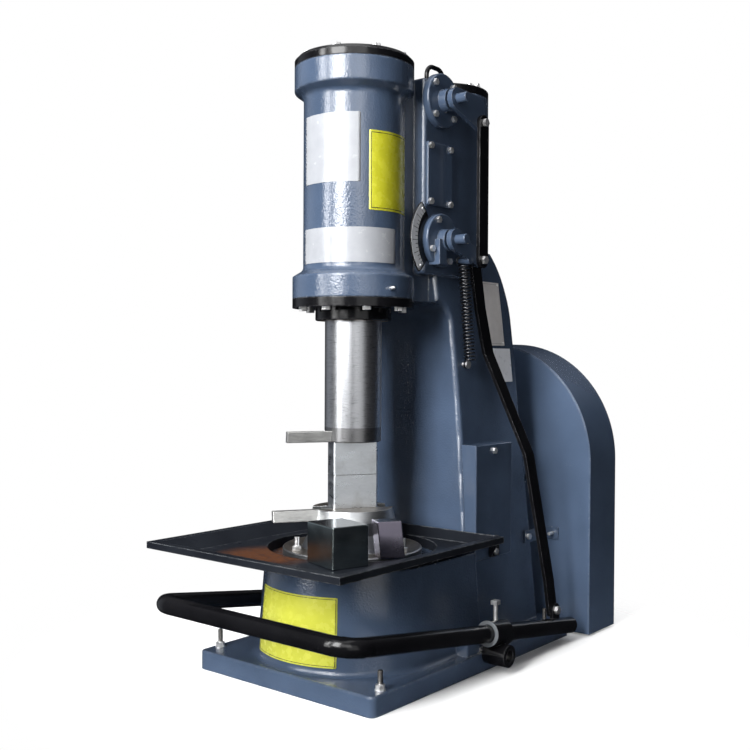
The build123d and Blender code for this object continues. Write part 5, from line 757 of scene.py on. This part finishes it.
def make_world():
    """White behind the object, and a dim room, paler on its left, for it to reflect."""
    world = bpy.data.worlds.new("studio")
    bpy.context.scene.world = world
    world.use_nodes = True
    tree = world.node_tree
    tree.nodes.clear()
    output = add_node(tree, "ShaderNodeOutputWorld")
    seen = add_node(tree, "ShaderNodeBackground", {"Color": (1, 1, 1, 1), "Strength": 1.0})
    room = add_node(tree, "ShaderNodeBackground", {"Strength": 1.0})
    ray = add_node(tree, "ShaderNodeLightPath")
    choose = add_node(tree, "ShaderNodeMixShader")
    direction = add_node(tree, "ShaderNodeTexCoord").outputs["Generated"]
    height = spread(tree, axis_of(tree, direction, "Z"), low=0.3, high=1.0)
    to_left = spread(tree, axis_of(tree, direction, "X"), low=-0.72, high=-0.95)
    to_front = spread(tree, axis_of(tree, direction, "Y"), low=0.2, high=-0.1)
    dim = mixed(tree, height, *ROOM_DIM)
    tree.links.new(mixed(tree, times(tree, to_left, to_front), dim, ROOM_LEFT), room.inputs["Color"])
    tree.links.new(ray.outputs["Is Camera Ray"], choose.inputs["Fac"])
    tree.links.new(room.outputs["Background"], choose.inputs[1])
    tree.links.new(seen.outputs["Background"], choose.inputs[2])
    tree.links.new(choose.outputs["Shader"], output.inputs["Surface"])


def add_area_light(name, spot, target, size, power, diffuse=True, glossy=True):
    """A rectangle of light aimed at a point, which may be left out of paint or of reflections."""
    width, height = size
    light = bpy.data.lights.new(name, "AREA")
    light.shape = "RECTANGLE"
    light.size = width
    light.size_y = height
    light.energy = power
    lamp = bpy.data.objects.new(name, light)
    lamp.location = spot
    lamp.rotation_euler = (Vector(target) - Vector(spot)).to_track_quat("-Z", "Y").to_euler()
    lamp.visible_diffuse = diffuse
    lamp.visible_glossy = glossy
    bpy.context.scene.collection.objects.link(lamp)


def add_lights():
    """Windows and cards for the gloss, washes for the paint, and a soft light from above."""
    barrel = (0, 0, 0.9)
    ram_foot = (0, 0, 0.6)
    throat = (0, 0.1, 0.6)
    column_front = (0, 0.2, 0.7)
    column_rear = (0, 0.3, 0.7)
    add_area_light("front_window", (0.572, -2.945, 2.35), barrel, (1.39, 2.7), power=205, diffuse=False)
    add_area_light("front_wash", (0.209, -2.993, 2.10), barrel, (1.20, 2.4), power=320, glossy=False)
    add_area_light("left_window", (-1.147, -2.987, 2.05), barrel, (0.52, 2.0), power=50, diffuse=False)
    add_area_light("low_card", (-0.880, -3.070, 0.55), ram_foot, (1.0, 0.8), power=15, diffuse=False)
    add_area_light("valley_card", (-0.201, -3.294, 2.20), barrel, (0.62, 2.4), power=19, diffuse=False)
    add_area_light("wide_card", (2.333, -2.333, 2.20), barrel, (2.2, 2.0), power=34, diffuse=False)
    add_area_light("right_card", (2.70, -1.27, 0.90), ram_foot, (2.0, 2.4), power=13)
    add_area_light("rear_wash", (-0.30, 3.60, 2.20), column_rear, (2.4, 2.6), power=120, glossy=False)
    add_area_light("far_side_wash", (-3.30, 0.90, 1.80), column_front, (2.4, 2.4), power=80, glossy=False)
    add_area_light("top_softbox", (0.2, -0.4, 3.4), throat, (2.6, 2.6), power=26)


def make_camera():
    """The camera at its place, with its heading, pitch and roll."""
    lens = bpy.data.cameras.new("photo_camera")
    lens.sensor_fit = "HORIZONTAL"
    lens.sensor_width = SENSOR_WIDTH
    lens.lens = FOCAL_PIXELS / IMAGE_SIZE * SENSOR_WIDTH
    camera = bpy.data.objects.new("photo_camera", lens)
    level = Vector((*CAMERA_HEADING, 0)).normalized()
    side = level.cross(UP)
    tilt = Matrix.Rotation(CAMERA_PITCH, 3, side)
    ahead = tilt @ level
    turn = Matrix.Rotation(-CAMERA_ROLL, 3, ahead)
    right = turn @ side
    above = turn @ (tilt @ UP)
    camera.matrix_world = Matrix((
        (right.x, above.x, -ahead.x, CAMERA_PLACE[0]),
        (right.y, above.y, -ahead.y, CAMERA_PLACE[1]),
        (right.z, above.z, -ahead.z, CAMERA_PLACE[2]),
        (0, 0, 0, 1),
    ))
    bpy.context.scene.collection.objects.link(camera)
    bpy.context.scene.camera = camera


# Finishes
# The edge mixes set here paint a highlight along the edges as well as scuffing.
looks = {
    "casting": enamel("casting_enamel", SLATE, gloss=0.14, peel=0.60, cast=0.30, edge_wear_and_sheen=0.45, edge=0.006,
                      chipped=0.8, rust=PEDESTAL_SCALE),
    "cover": enamel("cover_enamel", SLATE, gloss=0.18, peel=0.10, cast=0.14, edge=0.0016, chipped=1.0),
    "guard": enamel("guard_enamel", GUARD_SLATE, gloss=0.18, cast=0.06, chipped=0.3),
    "black": enamel("black_enamel", BLACK, peel=0.08, dust_wear_and_sheen=BLACK_DUST_WEAR_AND_SHEEN, edge_wear_and_sheen=0.55, dusty=0.05,
                    chip=BLACK_CHIP, chipped=0.5, coat=0.06, shine=0.32),
    "tray": enamel("tray_enamel", TRAY_BLACK, gloss=0.34, peel=0.08, dust_wear_and_sheen=TRAY_WEAR_AND_SHEEN, edge_wear_and_sheen=0.90,
                   edge=0.0030, dusty=0.0, chip=BLACK_CHIP, chipped=0.5, coat=0.0, shine=0.04,
                   rust=TRAY_SCALE),
    "ring": enamel("sawn_ring_grey", RING_GREY, gloss=0.45, peel=0.3, cast=0.2, coat=0.0),
    "motor": enamel("motor_enamel", MOTOR_GREY, gloss=0.30),
    "ram": steel("ram_steel", RAM_STEEL, gloss=0.31, grain=(1, 1, 30), grain_scale=60, scratch=0.015,
                 stained=0.10, band=RAM_BAND_TOP),
    "die": steel("die_steel", DIE_STEEL, gloss=0.30, grain=(1, 1, 3), grain_scale=22, scratch=0.0,
                 edge=0.0016, stain=DIE_STAIN, stained=0.6, rubbed_and_sheen=1.0),
    "wedge": steel("wedge_steel", WEDGE_STEEL, gloss=0.40, grain=(1, 1, 6), grain_scale=70, scratch=0.06,
                   edge=0.0012),
    "block": steel("block_steel", BLOCK_STEEL, gloss=0.20, grain=NO_GRAIN, grain_scale=9, scratch=0.0,
                   stained=0.10, rubbed_and_sheen=0.9, top=BLOCK_TOP),
    "small_block": steel("small_block_steel", SMALL_BLOCK_STEEL, grain=NO_GRAIN, grain_scale=9,
                         scratch=0.0, stained=0.10, rubbed_and_sheen=0.9, top=SMALL_BLOCK_TOP),
    "anvil": steel("anvil_iron", ANVIL_IRON, gloss=0.36, grain=(1, 1, 20), grain_scale=50, scratch=0.06,
                   edge=0.0016, top=ANVIL_TOP),
    "turned": steel("turned_iron", TURNED_IRON, gloss=0.34, grain=(1, 1, 30)),
    "bright": steel("bright_steel", BRIGHT_STEEL, gloss=0.25, grain=(1, 40, 1)),
    "zinc": steel("zinc_bolts", ZINC, gloss=0.42, grain=NO_GRAIN, grain_scale=220, stained=0.12),
    "spring": steel("spring_wire", SPRING_STEEL, gloss=0.28, grain=NO_GRAIN, grain_scale=60, scratch=0.02,
                    stained=0.0, rubbed_and_sheen=0.0),
    "oxide": steel("dark_studs", OXIDE, gloss=0.34, grain=NO_GRAIN, grain_scale=220, stained=0.1),
    "bronze": steel("bush_bronze", BRONZE, gloss=0.30, grain=(1, 1, 40)),
    "rubber": enamel("belt_rubber", RUBBER, gloss=0.65, peel=0.1, cast=0.1, coat=0.0),
}

# Nodes that wear each finish
node_looks = {
    "casting": ["frame_casting"],
    "cover": [
        "valve_covers", "side_cover", "chest_cover", "guard_brackets", "upper_lever", "lower_lever",
        "lower_valve_spool", "upper_valve_spool",
    ],
    "guard": ["belt_guard", "guard_front_plate"],
    "black": [
        "ram_cylinder_cap", "compressor_cap", "gland_housing", "lifting_loops", "treadle_pipe",
        "treadle_clamps", "valve_link", "treadle_link", "bearing_housing", "flywheel", "index_plate",
    ],
    "tray": ["scale_tray", "tray_straps"],
    "motor": ["motor"],
    "ram": ["ram"],
    "die": ["upper_die", "lower_die"],
    "wedge": ["upper_die_wedge", "lower_die_wedge"],
    "block": ["loose_die_block"],
    "small_block": ["loose_die_plate"],
    "anvil": ["anvil"],
    "turned": ["compressor_piston", "compressor_rings", "ram_piston_rings", "motor_pulley"],
    "bright": [
        "treadle_shaft", "crankshaft", "connecting_rod", "crank_pin", "wrist_pin", "motor_shaft",
        "main_bearings",
    ],
    "zinc": [
        "anvil_studs", "barrel_bolts", "cover_and_strap_bolts", "chest_bolts", "rear_bolts",
        "anchor_bolts", "treadle_set_screws", "treadle_link_pin", "lower_lever_pin", "upper_lever_pin",
        "spring_anchor", "flywheel_nut", "oil_fittings",
    ],
    "spring": ["return_spring"],
    "bronze": ["guide_bush"],
    "rubber": ["drive_belts"],
}
for look, node_names in node_looks.items():
    for node_name in node_names:
        node_mesh = cad_nodes[node_name].data
        node_mesh.materials.clear()
        node_mesh.materials.append(looks[look])

# Pieces that belong to the surface
add_barrel_plates()
add_foot_plate()
add_index_strip()
add_column_plates()
add_worked_copy("upper_die", DIE_BREAK, "die", "ram")
add_worked_copy("lower_die", DIE_BREAK, "die", "frame")
add_worked_copy("upper_die_wedge", WEDGE_BREAK, "wedge", "ram")
add_worked_copy("lower_die_wedge", WEDGE_BREAK, "wedge", "frame")
add_worked_copy("loose_die_block", BLOCK_BREAK, "block", "frame")
add_worked_copy("loose_die_plate", BLOCK_BREAK, "small_block", "frame")
add_clamp_rings()
add_anchor_threads()

# Studio
make_floor()
make_world()
add_lights()
make_camera()
bpy.context.scene.view_settings.view_transform = "Standard"
